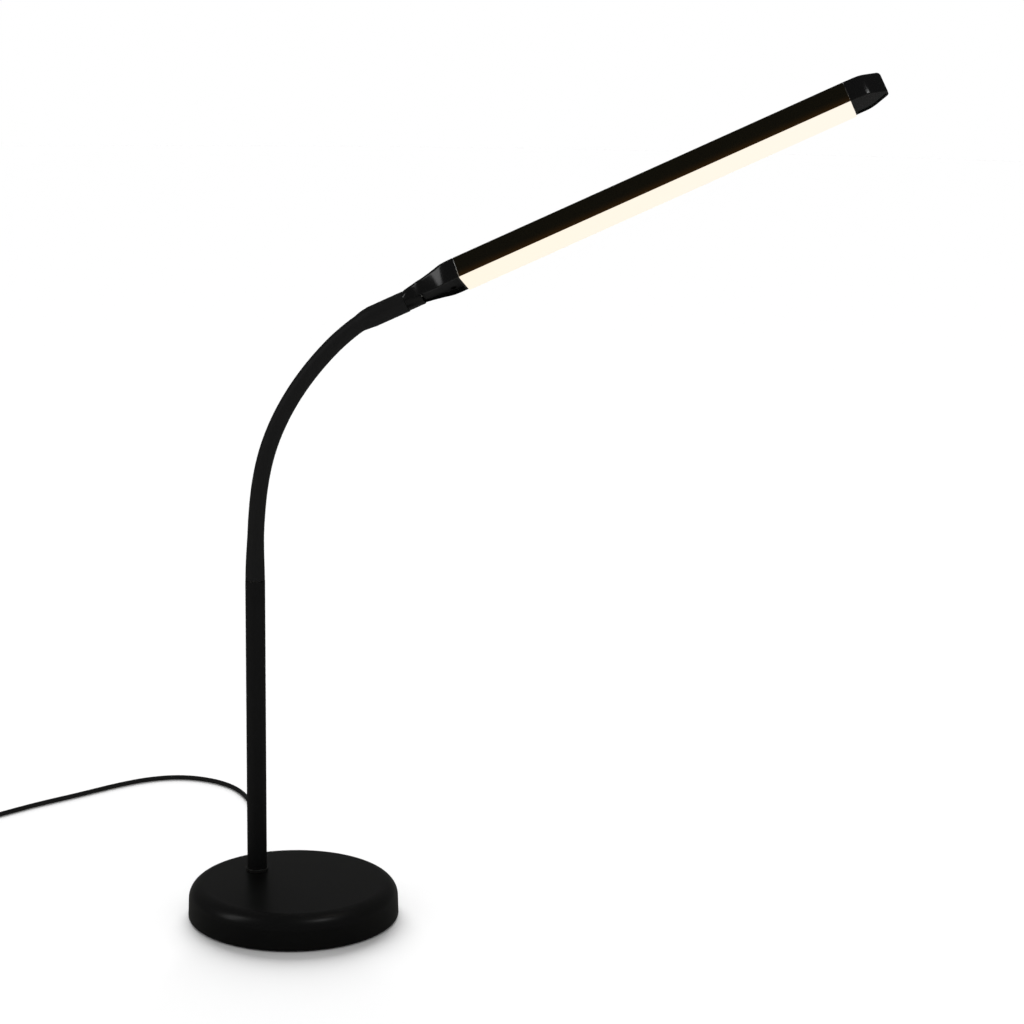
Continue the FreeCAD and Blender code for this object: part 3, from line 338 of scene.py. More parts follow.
def turned(name, profile, steps=96):
    """A piece turned on a lathe: a profile of (r, z) points drawn edge by edge and spun about Z."""
    deselect()
    bpy.ops.mesh.primitive_plane_add(size=0.01)
    piece = bpy.context.object
    piece.name = name
    bpy.ops.object.mode_set(mode="EDIT")
    bpy.ops.mesh.select_mode(type="VERT")
    bpy.ops.mesh.merge(type="CENTER")
    bpy.ops.transform.translate(value=(profile[0][0], 0, profile[0][1]))
    for (r0, z0), (r1, z1) in zip(profile, profile[1:]):
        bpy.ops.mesh.extrude_vertices_move(TRANSFORM_OT_translate={"value": (r1 - r0, 0, z1 - z0)})
    bpy.ops.mesh.select_all(action="SELECT")
    bpy.ops.mesh.spin(steps=steps, angle=math.tau, center=(0, 0, 0), axis=(0, 0, 1))
    bpy.ops.mesh.select_all(action="SELECT")
    bpy.ops.mesh.remove_doubles(threshold=0.000002)
    bpy.ops.mesh.normals_make_consistent(inside=False)
    bpy.ops.object.mode_set(mode="OBJECT")
    bpy.ops.object.shade_smooth_by_angle(angle=math.radians(32))
    return piece


def put(piece, place):
    """Moves a piece to its place in its mesh, and leaves its object at the origin."""
    piece.data.transform(piece.matrix_world)
    piece.matrix_world = Matrix.Identity(4)
    piece.data.transform(place)
    return piece


relief_corners = [
    (CORD_D / 2, RELIEF_INSIDE - RELIEF_FLANGE_T, 0),
    (RELIEF_FLANGE_R, RELIEF_INSIDE - RELIEF_FLANGE_T, 0.0003),
    (RELIEF_FLANGE_R, RELIEF_INSIDE, 0.0002),
    (RELIEF_NECK_R, RELIEF_INSIDE, 0),
    (RELIEF_NECK_R, RELIEF_WALL, 0),
    (RELIEF_ROOT_R, RELIEF_WALL, 0.0003),
]
groove_pitch = (RELIEF_END - RELIEF_WALL) / (RELIEF_GROOVES + 1)
for index in range(1, RELIEF_GROOVES + 1):
    z = RELIEF_WALL + groove_pitch * index
    r = RELIEF_ROOT_R + (RELIEF_TIP_R - RELIEF_ROOT_R) * index / (RELIEF_GROOVES + 1)
    relief_corners += [
        (r, z - GROOVE_MOUTH_W / 2, GROOVE_EDGE_R),
        (r - GROOVE_DEPTH, z - GROOVE_FLOOR_W / 2, GROOVE_EDGE_R),
        (r - GROOVE_DEPTH, z + GROOVE_FLOOR_W / 2, GROOVE_EDGE_R),
        (r, z + GROOVE_MOUTH_W / 2, GROOVE_EDGE_R),
    ]
relief_corners += [(RELIEF_TIP_R, RELIEF_END, 0.0003), (CORD_D / 2, RELIEF_END, 0),
                   (CORD_D / 2, RELIEF_INSIDE - RELIEF_FLANGE_T, 0)]
along_exit = (
    Matrix.Translation((0, 0, CORD_EXIT_Z))
    @ Matrix.Rotation(math.radians(CORD_EXIT_DEGREES), 4, "Z")
    @ Matrix.Rotation(math.radians(90), 4, "Y")
)
strain_relief = put(turned("strain_relief", rounded_profile(relief_corners, 3), 48), along_exit)
settle(strain_relief, cord_pvc, "stand", "cord_pvc", "cord_relief")


# Plug
# A flat four-contact plug for a low-voltage supply: a grip of fine-textured black plastic is
# moulded round the back of a bent nickel-plated shell, with a white tongue inside.
GRIP_L = 0.026
GRIP_W = 0.015
GRIP_EDGE_R = 0.0016
GRIP_NECK_L = 0.008
GRIP_NECK_R = 0.0026
GRIP_RIM = 0.002
GRIP_RIBS = 4
GRIP_RIB_FIRST = 0.006
GRIP_RIB_PITCH = 0.003
GRIP_RIB_W = 0.0012
GRIP_RIB_L = 0.0084
GRIP_RIB_DEPTH = 0.0004
RIB_TOOL_T = 0.0022
SHELL_L = 0.018
SHELL_SEAT = 0.005
SHELL_W = 0.012
SHELL_T = 0.0045
SHELL_WALL = 0.00035
SHELL_BEND_R = 0.0005
WINDOW_W = 0.0022
WINDOW_L = 0.0025
WINDOW_FROM_GRIP = 0.006
WINDOW_ASIDE = 0.0028
WINDOW_TOOL_T = 0.0012


def block(name, low, high):
    """A box between two corners, open for shaping in edit mode."""
    deselect()
    low = Vector(low)
    high = Vector(high)
    bpy.ops.mesh.primitive_cube_add(size=1, location=(low + high) / 2)
    piece = bpy.context.object
    piece.name = name
    piece.scale = high - low
    bpy.ops.object.transform_apply(location=True, rotation=True, scale=True)
    return piece


def choose(piece, kind, test):
    """In edit mode, selects the faces or edges whose middle passes a test, and nothing else."""
    bpy.ops.object.mode_set(mode="EDIT")
    bpy.ops.mesh.select_mode(type="FACE" if kind == "faces" else "EDGE")
    bpy.ops.mesh.select_all(action="DESELECT")
    mesh = bmesh.from_edit_mesh(piece.data)
    for item in getattr(mesh, kind):
        if kind == "faces":
            chosen = test(item.calc_center_median(), item.normal)
        else:
            ends = [v.co for v in item.verts]
            chosen = test((ends[0] + ends[1]) / 2, ends[1] - ends[0])
        if chosen:
            item.select_set(True)
    mesh.select_flush(True)
    bmesh.update_edit_mesh(piece.data)


def smooth(piece, degrees=32):
    bpy.ops.object.mode_set(mode="OBJECT")
    bpy.ops.object.shade_smooth_by_angle(angle=math.radians(degrees))
    return piece


def cut(piece, tool, operation="DIFFERENCE"):
    """Cuts a piece with a tool, or joins the two, and throws the tool away."""
    deselect()
    bpy.context.view_layer.objects.active = piece
    piece.select_set(True)
    modifier = piece.modifiers.new("cut", "BOOLEAN")
    modifier.operation = operation
    modifier.solver = "EXACT"
    modifier.object = tool
    bpy.ops.object.modifier_apply(modifier=modifier.name)
    bpy.data.objects.remove(tool)
    return piece


def soften(piece, width, segments=2, degrees=35):
    """Rounds the sharp edges of a finished form, as a mould or a file leaves them."""
    deselect()
    bpy.context.view_layer.objects.active = piece
    piece.select_set(True)
    modifier = piece.modifiers.new("soften", "BEVEL")
    modifier.width = width
    modifier.segments = segments
    modifier.limit_method = "ANGLE"
    modifier.angle_limit = math.radians(degrees)
    modifier.harden_normals = False
    bpy.ops.object.modifier_apply(modifier=modifier.name)
    bpy.ops.object.shade_smooth_by_angle(angle=math.radians(40))
    return piece


at_plug = Matrix.Translation(plug_at) @ Matrix.Rotation(math.atan2(plug_way.y, plug_way.x), 4, "Z")
grip_end = GRIP_NECK_L + GRIP_L
shell_start = grip_end - SHELL_SEAT

plug_body = block("plug_body", (GRIP_NECK_L, -GRIP_W / 2, -PLUG_GRIP_T / 2),
                  (grip_end, GRIP_W / 2, PLUG_GRIP_T / 2))
choose(plug_body, "faces", lambda middle, normal: normal.x < -0.9)
bpy.ops.mesh.inset(thickness=GRIP_RIM)
bpy.ops.mesh.extrude_region_move(TRANSFORM_OT_translate={"value": (-GRIP_NECK_L, 0, 0)})
narrowed = 2 * GRIP_NECK_R / (GRIP_W - 2 * GRIP_RIM)
thinned = 2 * GRIP_NECK_R / (PLUG_GRIP_T - 2 * GRIP_RIM)
bpy.ops.transform.resize(value=(1, narrowed, thinned), center_override=(0, 0, 0))
smooth(plug_body)
soften(plug_body, GRIP_EDGE_R / 2, 4)
for side in (-1, 1):
    z = side * (PLUG_GRIP_T / 2 - GRIP_RIB_DEPTH + RIB_TOOL_T / 2)
    for rib in range(GRIP_RIBS):
        x = GRIP_NECK_L + GRIP_RIB_FIRST + GRIP_RIB_PITCH * rib
        cut(plug_body, block("groove", (x, -GRIP_RIB_L / 2, z - RIB_TOOL_T / 2),
                             (x + GRIP_RIB_W, GRIP_RIB_L / 2, z + RIB_TOOL_T / 2)))
cut(plug_body, block("seat", (shell_start, -SHELL_W / 2 - FIT, -SHELL_T / 2 - FIT),
                     (grip_end + GRIP_EDGE_R, SHELL_W / 2 + FIT, SHELL_T / 2 + FIT)))
put(plug_body, at_plug)
grip_plastic = Finish("grip_plastic", Base_Color=(0.011, 0.011, 0.011, 1), Specular_IOR_Level=0.4)
grip_plastic.set("Roughness", 0.5 + 0.14 * grip_plastic.grain(0.003))
grip_plastic.relief(grip_plastic.grain(0.00025), 0.00004)
settle(plug_body, grip_plastic, "stand", "plug_grip", "plug_grip")

plug_sleeve = block("plug_sleeve", (shell_start, -SHELL_W / 2, -SHELL_T / 2),
                    (shell_start + SHELL_L, SHELL_W / 2, SHELL_T / 2))
choose(plug_sleeve, "edges", lambda middle, way: abs(way.x) > SHELL_L / 2)
bpy.ops.mesh.bevel(offset=SHELL_BEND_R, segments=3)
choose(plug_sleeve, "faces", lambda middle, normal: normal.x > 0.9)
bpy.ops.mesh.inset(thickness=SHELL_WALL)
bpy.ops.mesh.extrude_region_move(TRANSFORM_OT_translate={"value": (SHELL_WALL - SHELL_L, 0, 0)})
smooth(plug_sleeve)
x = shell_start + SHELL_SEAT + WINDOW_FROM_GRIP
for y in (-WINDOW_ASIDE, WINDOW_ASIDE):
    for z in (-SHELL_T / 2, SHELL_T / 2):
        cut(plug_sleeve, block("window", (x, y - WINDOW_W / 2, z - WINDOW_TOOL_T / 2),
                               (x + WINDOW_L, y + WINDOW_W / 2, z + WINDOW_TOOL_T / 2)))
put(plug_sleeve, at_plug)
nickel = Finish("nickel", Base_Color=(0.72, 0.70, 0.66, 1), Metallic=1.0)
nickel.set("Roughness", 0.16 + 0.14 * nickel.grain(0.0015))
nickel.relief(nickel.grain(0.0004), 0.00001)
settle(plug_sleeve, nickel, "stand", "plug_nickel", "plug_shell")
plug_white = Finish("plug_white", Base_Color=(0.78, 0.78, 0.74, 1))
plug_white.set("Roughness", 0.4 + 0.15 * plug_white.grain(0.001))
dress(plug_white, "plug_insert")


# Foot pad, bottom plate and screws
# A disc of foam rubber is glued under a pressed and zinc-plated steel plate, which three
# screws hold to the bosses of the base shell.
CELLS_PER_M = 1400.0
SPANGLES_PER_M = 260.0
pad_low, pad_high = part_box("base_pad")
pad_r = (pad_high.x - pad_low.x) / 2
foot_pad = turned("foot_pad", rounded_profile([
    (0, 0, 0),
    (pad_r, 0, 0.0006),
    (pad_r, pad_high.z, 0),
    (0, pad_high.z, 0),
], 4), 128)
foam = Finish("foam", Specular_IOR_Level=0.25)
cells = {"Vector": foam.place, "Scale": CELLS_PER_M}
foam_cells = foam.node("ShaderNodeTexVoronoi", {}, cells)["Distance"]
foam.colour((0.008, 0.008, 0.008), (0.022, 0.021, 0.020), foam_cells)
foam.set("Roughness", 0.82 + 0.12 * foam_cells)
foam.relief(foam_cells, 0.00015)
settle(foot_pad, foam, "stand", "foot_foam", "base_pad")

zinc = Finish("zinc", Metallic=1.0)
spangles = {"Vector": zinc.place, "Scale": SPANGLES_PER_M}
zinc_spangle = zinc.node("ShaderNodeTexVoronoi", {}, spangles)["Distance"]
zinc.colour((0.50, 0.51, 0.52), (0.66, 0.67, 0.69), zinc_spangle)
zinc.set("Roughness", 0.28 + 0.2 * zinc_spangle)
zinc.relief(zinc.grain(0.0006), 0.00002)
dress(zinc, "base_plate", "base_screws", "tube_washer", "tube_nut")

# Weight
# A disc of grey cast iron fills the base, with a pocket for the tube's nut and a slot for
# the cord. It is left as cast.
iron = Finish("iron", Metallic=0.6, Specular_IOR_Level=0.4)
iron.colour((0.05, 0.05, 0.052), (0.14, 0.135, 0.13), iron.grain(0.006, 6.0))
iron.set("Roughness", 0.66 + 0.25 * iron.grain(0.002))
iron.relief(iron.grain(0.0012, 5.0), 0.0003)
dress(iron, "base_weight")

# Base shell
# One round moulding of satin black plastic, hollow below, with drafted sides and a wide
# rounded shoulder. The tube and the cord pass through it.
COVER_WALL = 0.0025
COVER_DRAFT = 0.0008
SHOULDER_R = 0.011
RIM_ROUND = 0.0016
TUBE_R = 0.007
DRILL_L = 0.05
CORD_DRILL_FROM = 0.05
CORD_DRILL_TO = 0.09
cover_low, cover_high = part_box("base_cover")
cover_r = (cover_high.x - cover_low.x) / 2
inner_r = cover_r - COVER_DRAFT - COVER_WALL
base_shell = turned("base_shell", rounded_profile([
    (0, cover_high.z, 0),
    (cover_r - COVER_DRAFT, cover_high.z, SHOULDER_R),
    (cover_r, cover_low.z, RIM_ROUND),
    (inner_r, cover_low.z, 0.0004),
    (inner_r, cover_high.z - COVER_WALL, SHOULDER_R - COVER_WALL),
    (0, cover_high.z - COVER_WALL, 0),
], 16), 192)


def rod(name, start, end, radius, vertices=64):
    """A plain round rod between two places, used to drill holes."""
    deselect()
    way = Vector(end) - Vector(start)
    turn = way.to_track_quat("Z", "Y").to_euler()
    bpy.ops.mesh.primitive_cylinder_add(vertices=vertices, radius=radius, depth=way.length,
                                        location=(Vector(start) + Vector(end)) / 2, rotation=turn)
    piece = bpy.context.object
    piece.name = name
    bpy.ops.object.transform_apply(location=True, rotation=True, scale=True)
    return piece


joints = {joint["name"]: joint for joint in frame["joints"]}
tube_top = Vector(joints["arm_swing"]["pos_m"])
tube_foot = Vector((tube_top.x, tube_top.y, 0))
cut(base_shell, rod("hole", tube_foot, tube_foot + UP * DRILL_L, TUBE_R + FIT))
cut(base_shell, rod("hole", exit_way * CORD_DRILL_FROM + UP * CORD_EXIT_Z,
                    exit_way * CORD_DRILL_TO + UP * CORD_EXIT_Z, RELIEF_NECK_R + FIT, 32))
smooth(base_shell)
base_black = Finish("base_black", Specular_IOR_Level=0.5)
base_cloud = base_black.grain(0.05, 3.0)
base_black.colour((0.0030, 0.0030, 0.0029), (0.0040, 0.0040, 0.0038), base_cloud)
base_black.set("Roughness", 0.27 + 0.05 * base_cloud + 0.03 * base_black.grain(0.002))
base_black.relief(base_black.grain(0.00035, 3.0), 0.000012)
settle(base_shell, base_black, "stand", "base_gloss", "base_cover")

# Tube and collar
# A straight steel tube with a satin black powder coat. A thin turned collar covers its hole in
# the base, and the nut below pulls the two together.
TUBE_WALL = 0.001
riser_low, riser_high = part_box("riser_tube")
stand_tube = turned("stand_tube", rounded_profile([
    (TUBE_R - TUBE_WALL, riser_low.z, 0),
    (TUBE_R, riser_low.z, 0.0002),
    (TUBE_R, riser_high.z, 0.0004),
    (TUBE_R - TUBE_WALL, riser_high.z, 0.0002),
    (TUBE_R - TUBE_WALL, riser_low.z, 0),
], 4), 96)
put(stand_tube, Matrix.Translation(tube_foot))
powder = Finish("powder", Specular_IOR_Level=0.35)
powder_peel = powder.grain(0.0008, 2.0)
powder.colour((0.0052, 0.0052, 0.0052), (0.0070, 0.0070, 0.0069), powder.grain(0.03))
powder.set("Roughness", 0.44 + 0.12 * powder_peel)
powder.relief(powder_peel, 0.00003)
settle(stand_tube, powder, "stand", "tube_paint", "riser_tube")

collar_low, collar_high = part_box("foot_collar")
collar_r = (collar_high.x - collar_low.x) / 2
tube_collar = turned("tube_collar", rounded_profile([
    (TUBE_R + FIT, collar_low.z, 0),
    (collar_r, collar_low.z, 0.0001),
    (collar_r, collar_high.z, 0.0005),
    (TUBE_R + FIT, collar_high.z, 0.0001),
    (TUBE_R + FIT, collar_low.z, 0),
], 5), 96)
put(tube_collar, Matrix.Translation(tube_foot))
collar_black = Finish("collar_black", Base_Color=(0.010, 0.010, 0.009, 1), Specular_IOR_Level=0.6)
collar_black.set("Roughness", 0.16 + 0.10 * collar_black.grain(0.002))
collar_black.relief(collar_black.grain(0.0006), 0.00001)
settle(tube_collar, collar_black, "stand", "tube_paint", "foot_collar")

# Inside the arm
# A nylon bush lines the tube's mouth, a core of wound steel carries the arm's bend, and a
# pale lead runs through its middle to the head.
WINDING_SCALE = 190.0
SECTIONS = len([name for name in joints if name.startswith("arm_bend_")]) - 1
nylon = Finish("nylon", Specular_IOR_Level=0.45)
nylon.colour((0.66, 0.64, 0.56), (0.74, 0.72, 0.65), nylon.grain(0.003))
nylon.set("Roughness", 0.42 + 0.12 * nylon.grain(0.001))
dress(nylon, "swivel_bush")
black_oxide = Finish("black_oxide", Metallic=1.0)
black_oxide.colour((0.012, 0.012, 0.013), (0.02, 0.02, 0.021), black_oxide.grain(0.002))
black_oxide.set("Roughness", 0.4 + 0.15 * black_oxide.grain(0.0008))
dress(black_oxide, "tip_fitting", "lid_screws")
wound_steel = Finish("wound_steel", Metallic=1.0)
winding = {"Vector": wound_steel.place, "Scale": WINDING_SCALE, "Distortion": 0.3}
wound_bands = wound_steel.node("ShaderNodeTexWave", {"bands_direction": "DIAGONAL"}, winding)["Fac"]
wound_steel.colour((0.25, 0.25, 0.26), (0.58, 0.58, 0.59), wound_bands)
wound_steel.set("Roughness", 0.3 + 0.15 * wound_steel.grain(0.001))
wound_steel.relief(wound_bands, 0.0003)
lead_pale = Finish("lead_pale", Specular_IOR_Level=0.4)
lead_pale.colour((0.52, 0.51, 0.46), (0.62, 0.61, 0.56), lead_pale.grain(0.005))
lead_pale.set("Roughness", 0.45 + 0.1 * lead_pale.grain(0.001))
dress(lead_pale, "root_lead", "tip_lead", "head_lead", "led_lead")
dress(cord_pvc, "inner_cord")
for number in range(1, SECTIONS + 1):
    dress(wound_steel, "arm_core_%d" % number)
    dress(lead_pale, "arm_lead_%d" % number)

# Gooseneck sleeve and boots
# One matt silicone sleeve is pulled over the wound core, between a boot on the tube and a
# thicker boot at the tip. Here it is cut into lengths between the hinges.
# The first hinge is a cut too, where a ball fills the wedge between the boot and the sleeve.
SLEEVE_R = 0.0059
SLEEVE_WALL = 0.0009
ROOT_FLANGE_T = 0.003
ROOT_FLANGE_R = 0.0069
ROOT_TAPER_L = 0.029
ROOT_TAPER = [(0.0, 0.0), (0.34, 0.28), (0.67, 0.66), (1.0, 1.0)]
TIP_STRAIGHT_L = 0.026
TIP_BOOT_R = 0.00735
TIP_SWELL = [(0.0, 0.0), (0.28, 0.0), (0.57, 0.5), (1.0, 1.0)]
STEPS = 12
ROUND = 56
BOOT_GAP = 0.0001
BALL_TURN = 10
BALL_STEPS = 5


def heading_of(way):
    return math.degrees(math.atan2(way.z, way.x))


def arc_stations(start, heading, end, steps):
    """Places and headings along the arc that leaves a start at a heading and reaches an end."""
    chord = heading_of(end - start)
    turn = 2 * (heading - chord)
    stations = []
    for step in range(steps + 1):
        share = step / steps
        half = math.radians(turn * share / 2)
        length = (end - start).length * share
        if abs(turn) > 0.001:
            length = (end - start).length * math.sin(half) / math.sin(math.radians(turn / 2))
        way = math.radians(heading) - half
        stations.append((start + Vector((math.cos(way), 0, math.sin(way))) * length, heading - turn * share))
    return stations


def ring_at(place, heading, radius, count=ROUND):
    """Points of a circle across the arm at a place."""
    across = Vector((math.sin(math.radians(heading)), 0, -math.cos(math.radians(heading))))
    side = Vector((0, 1, 0))
    angles = [math.tau * index / count for index in range(count)]
    return [place + (across * math.cos(angle) + side * math.sin(angle)) * radius for angle in angles]


def skin(name, rings, ends=True):
    """A closed mesh drawn through rings of points: capped at both ends, or joined end to start."""
    mesh = bpy.data.meshes.new(name)
    shape = bmesh.new()
    rows = [[shape.verts.new(point) for point in ring] for ring in rings]
    pairs = list(zip(rows, rows[1:]))
    if ends:
        shape.faces.new(rows[0])
        shape.faces.new(rows[-1])
    else:
        pairs.append((rows[-1], rows[0]))
    for row, other in pairs:
        for index in range(len(row)):
            after = (index + 1) % len(row)
            shape.faces.new((row[index], row[after], other[after], other[index]))
    bmesh.ops.recalc_face_normals(shape, faces=shape.faces)
    shape.to_mesh(mesh)
    shape.free()
    piece = bpy.data.objects.new(name, mesh)
    bpy.context.scene.collection.objects.link(piece)
    deselect()
    bpy.context.view_layer.objects.active = piece
    piece.select_set(True)
    bpy.ops.object.shade_smooth_by_angle(angle=math.radians(40))
    return piece


def along_table(table, share):
    """Reads a table of (share, value) pairs, straight from row to row."""
    for (s0, v0), (s1, v1) in zip(table, table[1:]):
        if share <= s1:
            part = (share - s0) / (s1 - s0)
            return v0 + (v1 - v0) * part
    return table[-1][1]


pivots = [Vector(joints["arm_bend_%d" % number]["pos_m"]) for number in range(1, SECTIONS + 2)]
arm_start = tube_top + UP * ROOT_FLANGE_T
arm_end = Vector(joints["head_turn"]["pos_m"])
arm_way = Vector(joints["head_turn"]["axis"])
stretches = []
heading = 90.0
place = arm_start
for pivot in pivots:
    stations = arc_stations(place, heading, pivot, STEPS)
    stretches.append(stations)
    place, heading = stations[-1]
bend_end = arm_end - arm_way * TIP_STRAIGHT_L
bend = arc_stations(place, heading, bend_end, STEPS)
boot_end = arm_end - arm_way * BOOT_GAP
straight = [(bend_end.lerp(boot_end, quarter / 4), heading_of(arm_way)) for quarter in range(1, 5)]
half = STEPS // 2

root_length = (pivots[0] - arm_start).length
root_stations = []
for index, (place, heading) in enumerate(stretches[0]):
    share = min(root_length * index / STEPS / ROOT_TAPER_L, 1.0)
    radius = ROOT_FLANGE_R + (SLEEVE_R - ROOT_FLANGE_R) * along_table(ROOT_TAPER, share)
    root_stations.append((place, heading, radius))
tip_stations = []
for index, (place, heading) in enumerate(bend):
    swollen = along_table(TIP_SWELL, index / STEPS)
    tip_stations.append((place, heading, SLEEVE_R + (TIP_BOOT_R - SLEEVE_R) * swollen))
tip_stations += [(place, heading, TIP_BOOT_R) for place, heading in straight]


def sleeve(name, stations):
    """A length of sleeve with its wall: out along the outer surface and back along the bore."""
    outer = [ring_at(place, heading, radius) for place, heading, radius in stations]
    bore = [ring_at(place, heading, radius - SLEEVE_WALL) for place, heading, radius in reversed(stations)]
    return skin(name, outer + bore, ends=False)


def on_sleeve(stations):
    return [(place, heading, SLEEVE_R) for place, heading in stations]


def ball_stations(pivot, way, heading):
    """Stations over the back of a ball round a hinge, up to its middle."""
    stations = []
    for step in range(BALL_STEPS, -1, -1):
        turn = math.radians(BALL_TURN * step / BALL_STEPS)
        stations.append((pivot - way * SLEEVE_R * math.sin(turn), heading, SLEEVE_R * math.cos(turn)))
    return stations


silicone = Finish("silicone", Specular_IOR_Level=0.35)
silicone.colour((0.0082, 0.0082, 0.0082), (0.0104, 0.0104, 0.0102), silicone.grain(0.02))
silicone.set("Roughness", 0.46 + 0.10 * silicone.grain(0.0015))
silicone.relief(silicone.grain(0.0003), 0.00001)

dress(silicone, "root_fitting")
bodies_up = ["arm_root"] + ["arm_%d" % number for number in range(1, SECTIONS + 1)] + ["arm_tip"]
for number, pivot in enumerate(pivots):
    lower, upper = bodies_up[number], bodies_up[number + 1]
    heading = stretches[number][-1][1]
    way = Vector((math.cos(math.radians(heading)), 0, math.sin(math.radians(heading))))
    if number == 0:
        settle(sleeve("sleeve_root", root_stations), silicone, lower, "sleeve_rubber", "root_boot")
        before = ball_stations(pivot, way, heading)
    else:
        before = on_sleeve(stretches[number][half:])
    if number == SECTIONS:
        after = tip_stations[1:]
    else:
        after = on_sleeve(stretches[number + 1][1:half + 1])
    piece = sleeve("sleeve_%d" % (number + 1), before + after)
    if number == 0:
        settle(piece, silicone, upper, "sleeve_rubber")
        continue
    piece.data.materials.append(silicone.material)
    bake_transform(piece)
    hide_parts("arm_sleeve_%d" % number)
    if number == SECTIONS:
        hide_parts("tip_boot")


# Neck of the head
# A hollow moulding of gloss black plastic: a round barrel on the arm, under a hood that widens
# to the section of the light bar. The hood is open below, and its lid sits up inside it.
HEAD_ROLL = 30.5
NECK_L = 0.0424
NECK_END_R = 0.0071
NECK_AXIS_Z = 0.0052
NECK_LOW_R = 0.0005
NECK_SWELL = [
    (1.0, 0.0), (0.8, 0.08), (0.61, 0.33), (0.42, 0.65), (0.25, 0.9), (0.11, 0.985), (0.0, 1.0),
]
NECK_FLARE = [
    (1.0, 0.0), (0.955, 0.07), (0.8, 0.09), (0.7, 0.23), (0.61, 0.26),
    (0.42, 0.51), (0.25, 0.91), (0.13, 1.0), (0.0, 1.0),
]
NECK_CRISP = [(1.0, 0.0), (0.93, 0.35), (0.84, 0.8), (0.7, 1.0), (0.0, 1.0)]
NECK_LOW = [
    (1.0, 0.0034), (0.93, 0.0031), (0.8, 0.0024), (0.61, 0.0014),
    (0.42, 0.0005), (0.25, 0.0), (0.0, 0.0),
]
LEAST_LOW_R = 0.0002
LEAST_TOP_R = 0.0008
NECK_SLICES = 44
HOLLOW_SLICES = 26
END_STEPS = 6
NECK_BARREL_R = 0.0069
NECK_BARREL_X = -0.0302
NECK_RIM = 0.0011
NECK_END_ROUND = 0.00055
NECK_WALL = 0.0016
NECK_BORE_X = -0.0284
NECK_HOOD_L = 0.0385
NECK_SOFT = 0.00022
BUSH_R = 0.005
BUTTON_X = -0.016
BUTTON_R = 0.004
SLIP = 0.0003
LED_LEAD_R = 0.0011
LED_LEAD_Z = 0.00855
BAR_L = 0.288
BAR_W = 0.0245
BAR_H = 0.016
BAR_TOP_R = 0.003
BAR_WALL = 0.0013
BAR_ROOF = 0.0016
SEAM = 0.00015
BOARD_Z = 0.0088
BOARD_T = 0.001
RIB_W = 0.0018
RIB_T = 0.001
SPIGOT_DEPTH = 0.010
SPIGOT_RISE = 0.0004
CORNER_STEPS = 12

head_top = Vector((-arm_way.z, 0, arm_way.x))
head_back = Vector((0, 1, 0))
roll = math.radians(HEAD_ROLL)
head_up = head_top * math.cos(roll) + head_back * math.sin(roll)
head_side = head_up.cross(arm_way)
head_origin = arm_end + arm_way * NECK_L - head_up * NECK_AXIS_Z
on_head = Matrix.Translation(head_origin) @ Matrix((arm_way, head_side, head_up)).transposed().to_4x4()


def outline(x, half_width, low, high, low_r, high_r):
    """Points round the head's section at a distance along it, corner by corner."""
    corners = [
        (half_width - low_r, low + low_r, low_r, -90),
        (half_width - high_r, high - high_r, high_r, 0),
        (high_r - half_width, high - high_r, high_r, 90),
        (low_r - half_width, low + low_r, low_r, 180),
    ]
    points = []
    for y, z, radius, start in corners:
        for step in range(CORNER_STEPS):
            angle = math.radians(start + 90 * step / (CORNER_STEPS - 1))
            points.append(Vector((x, y + radius * math.cos(angle), z + radius * math.sin(angle))))
    return points


def eased(table, share):
    """Reads a table of (share, value) pairs along one smooth curve through its rows."""
    rows = sorted(table)
    slopes = [0.0]
    for (s0, v0), (s1, v1) in zip(rows, rows[2:]):
        slopes.append((v1 - v0) / (s1 - s0))
    slopes.append(0.0)
    for index, ((s0, v0), (s1, v1)) in enumerate(zip(rows, rows[1:])):
        if share <= s1:
            t = (share - s0) / (s1 - s0)
            ease = 3 * t ** 2 - 2 * t ** 3
            leave = (t ** 3 - 2 * t ** 2 + t) * (s1 - s0) * slopes[index]
            reach = (t ** 3 - t ** 2) * (s1 - s0) * slopes[index + 1]
            return v0 + (v1 - v0) * ease + leave + reach
    return rows[-1][1]


def neck_ring(x, inset=0.0, drop=0.0):
    """The neck's section at a distance along it, drawn in by an inset and lowered by a drop."""
    share = -x / NECK_L
    half_width = NECK_END_R + (BAR_W / 2 - NECK_END_R) * eased(NECK_FLARE, share)
    low = eased(NECK_LOW, share)
    high = NECK_AXIS_Z + NECK_END_R + (BAR_H - NECK_AXIS_Z - NECK_END_R) * eased(NECK_SWELL, share)
    crisp = eased(NECK_CRISP, share)
    round_r = NECK_END_R - SEAM
    low_r = max(NECK_LOW_R - inset, LEAST_LOW_R)
    high_r = max(round_r + (BAR_TOP_R - round_r) * crisp - inset, LEAST_TOP_R)
    return outline(x, half_width - inset, low + inset - drop, high - inset, low_r, high_r)


def spigot(start, end):
    """The block at an end piece's seam that slides into the light channel above the ribs."""
    half = BAR_W / 2 - BAR_WALL - SLIP
    low = BOARD_Z + BOARD_T + RIB_T + SPIGOT_RISE
    return block("spigot", (start, -half, low), (end, half, BAR_H - BAR_ROOF - SLIP))


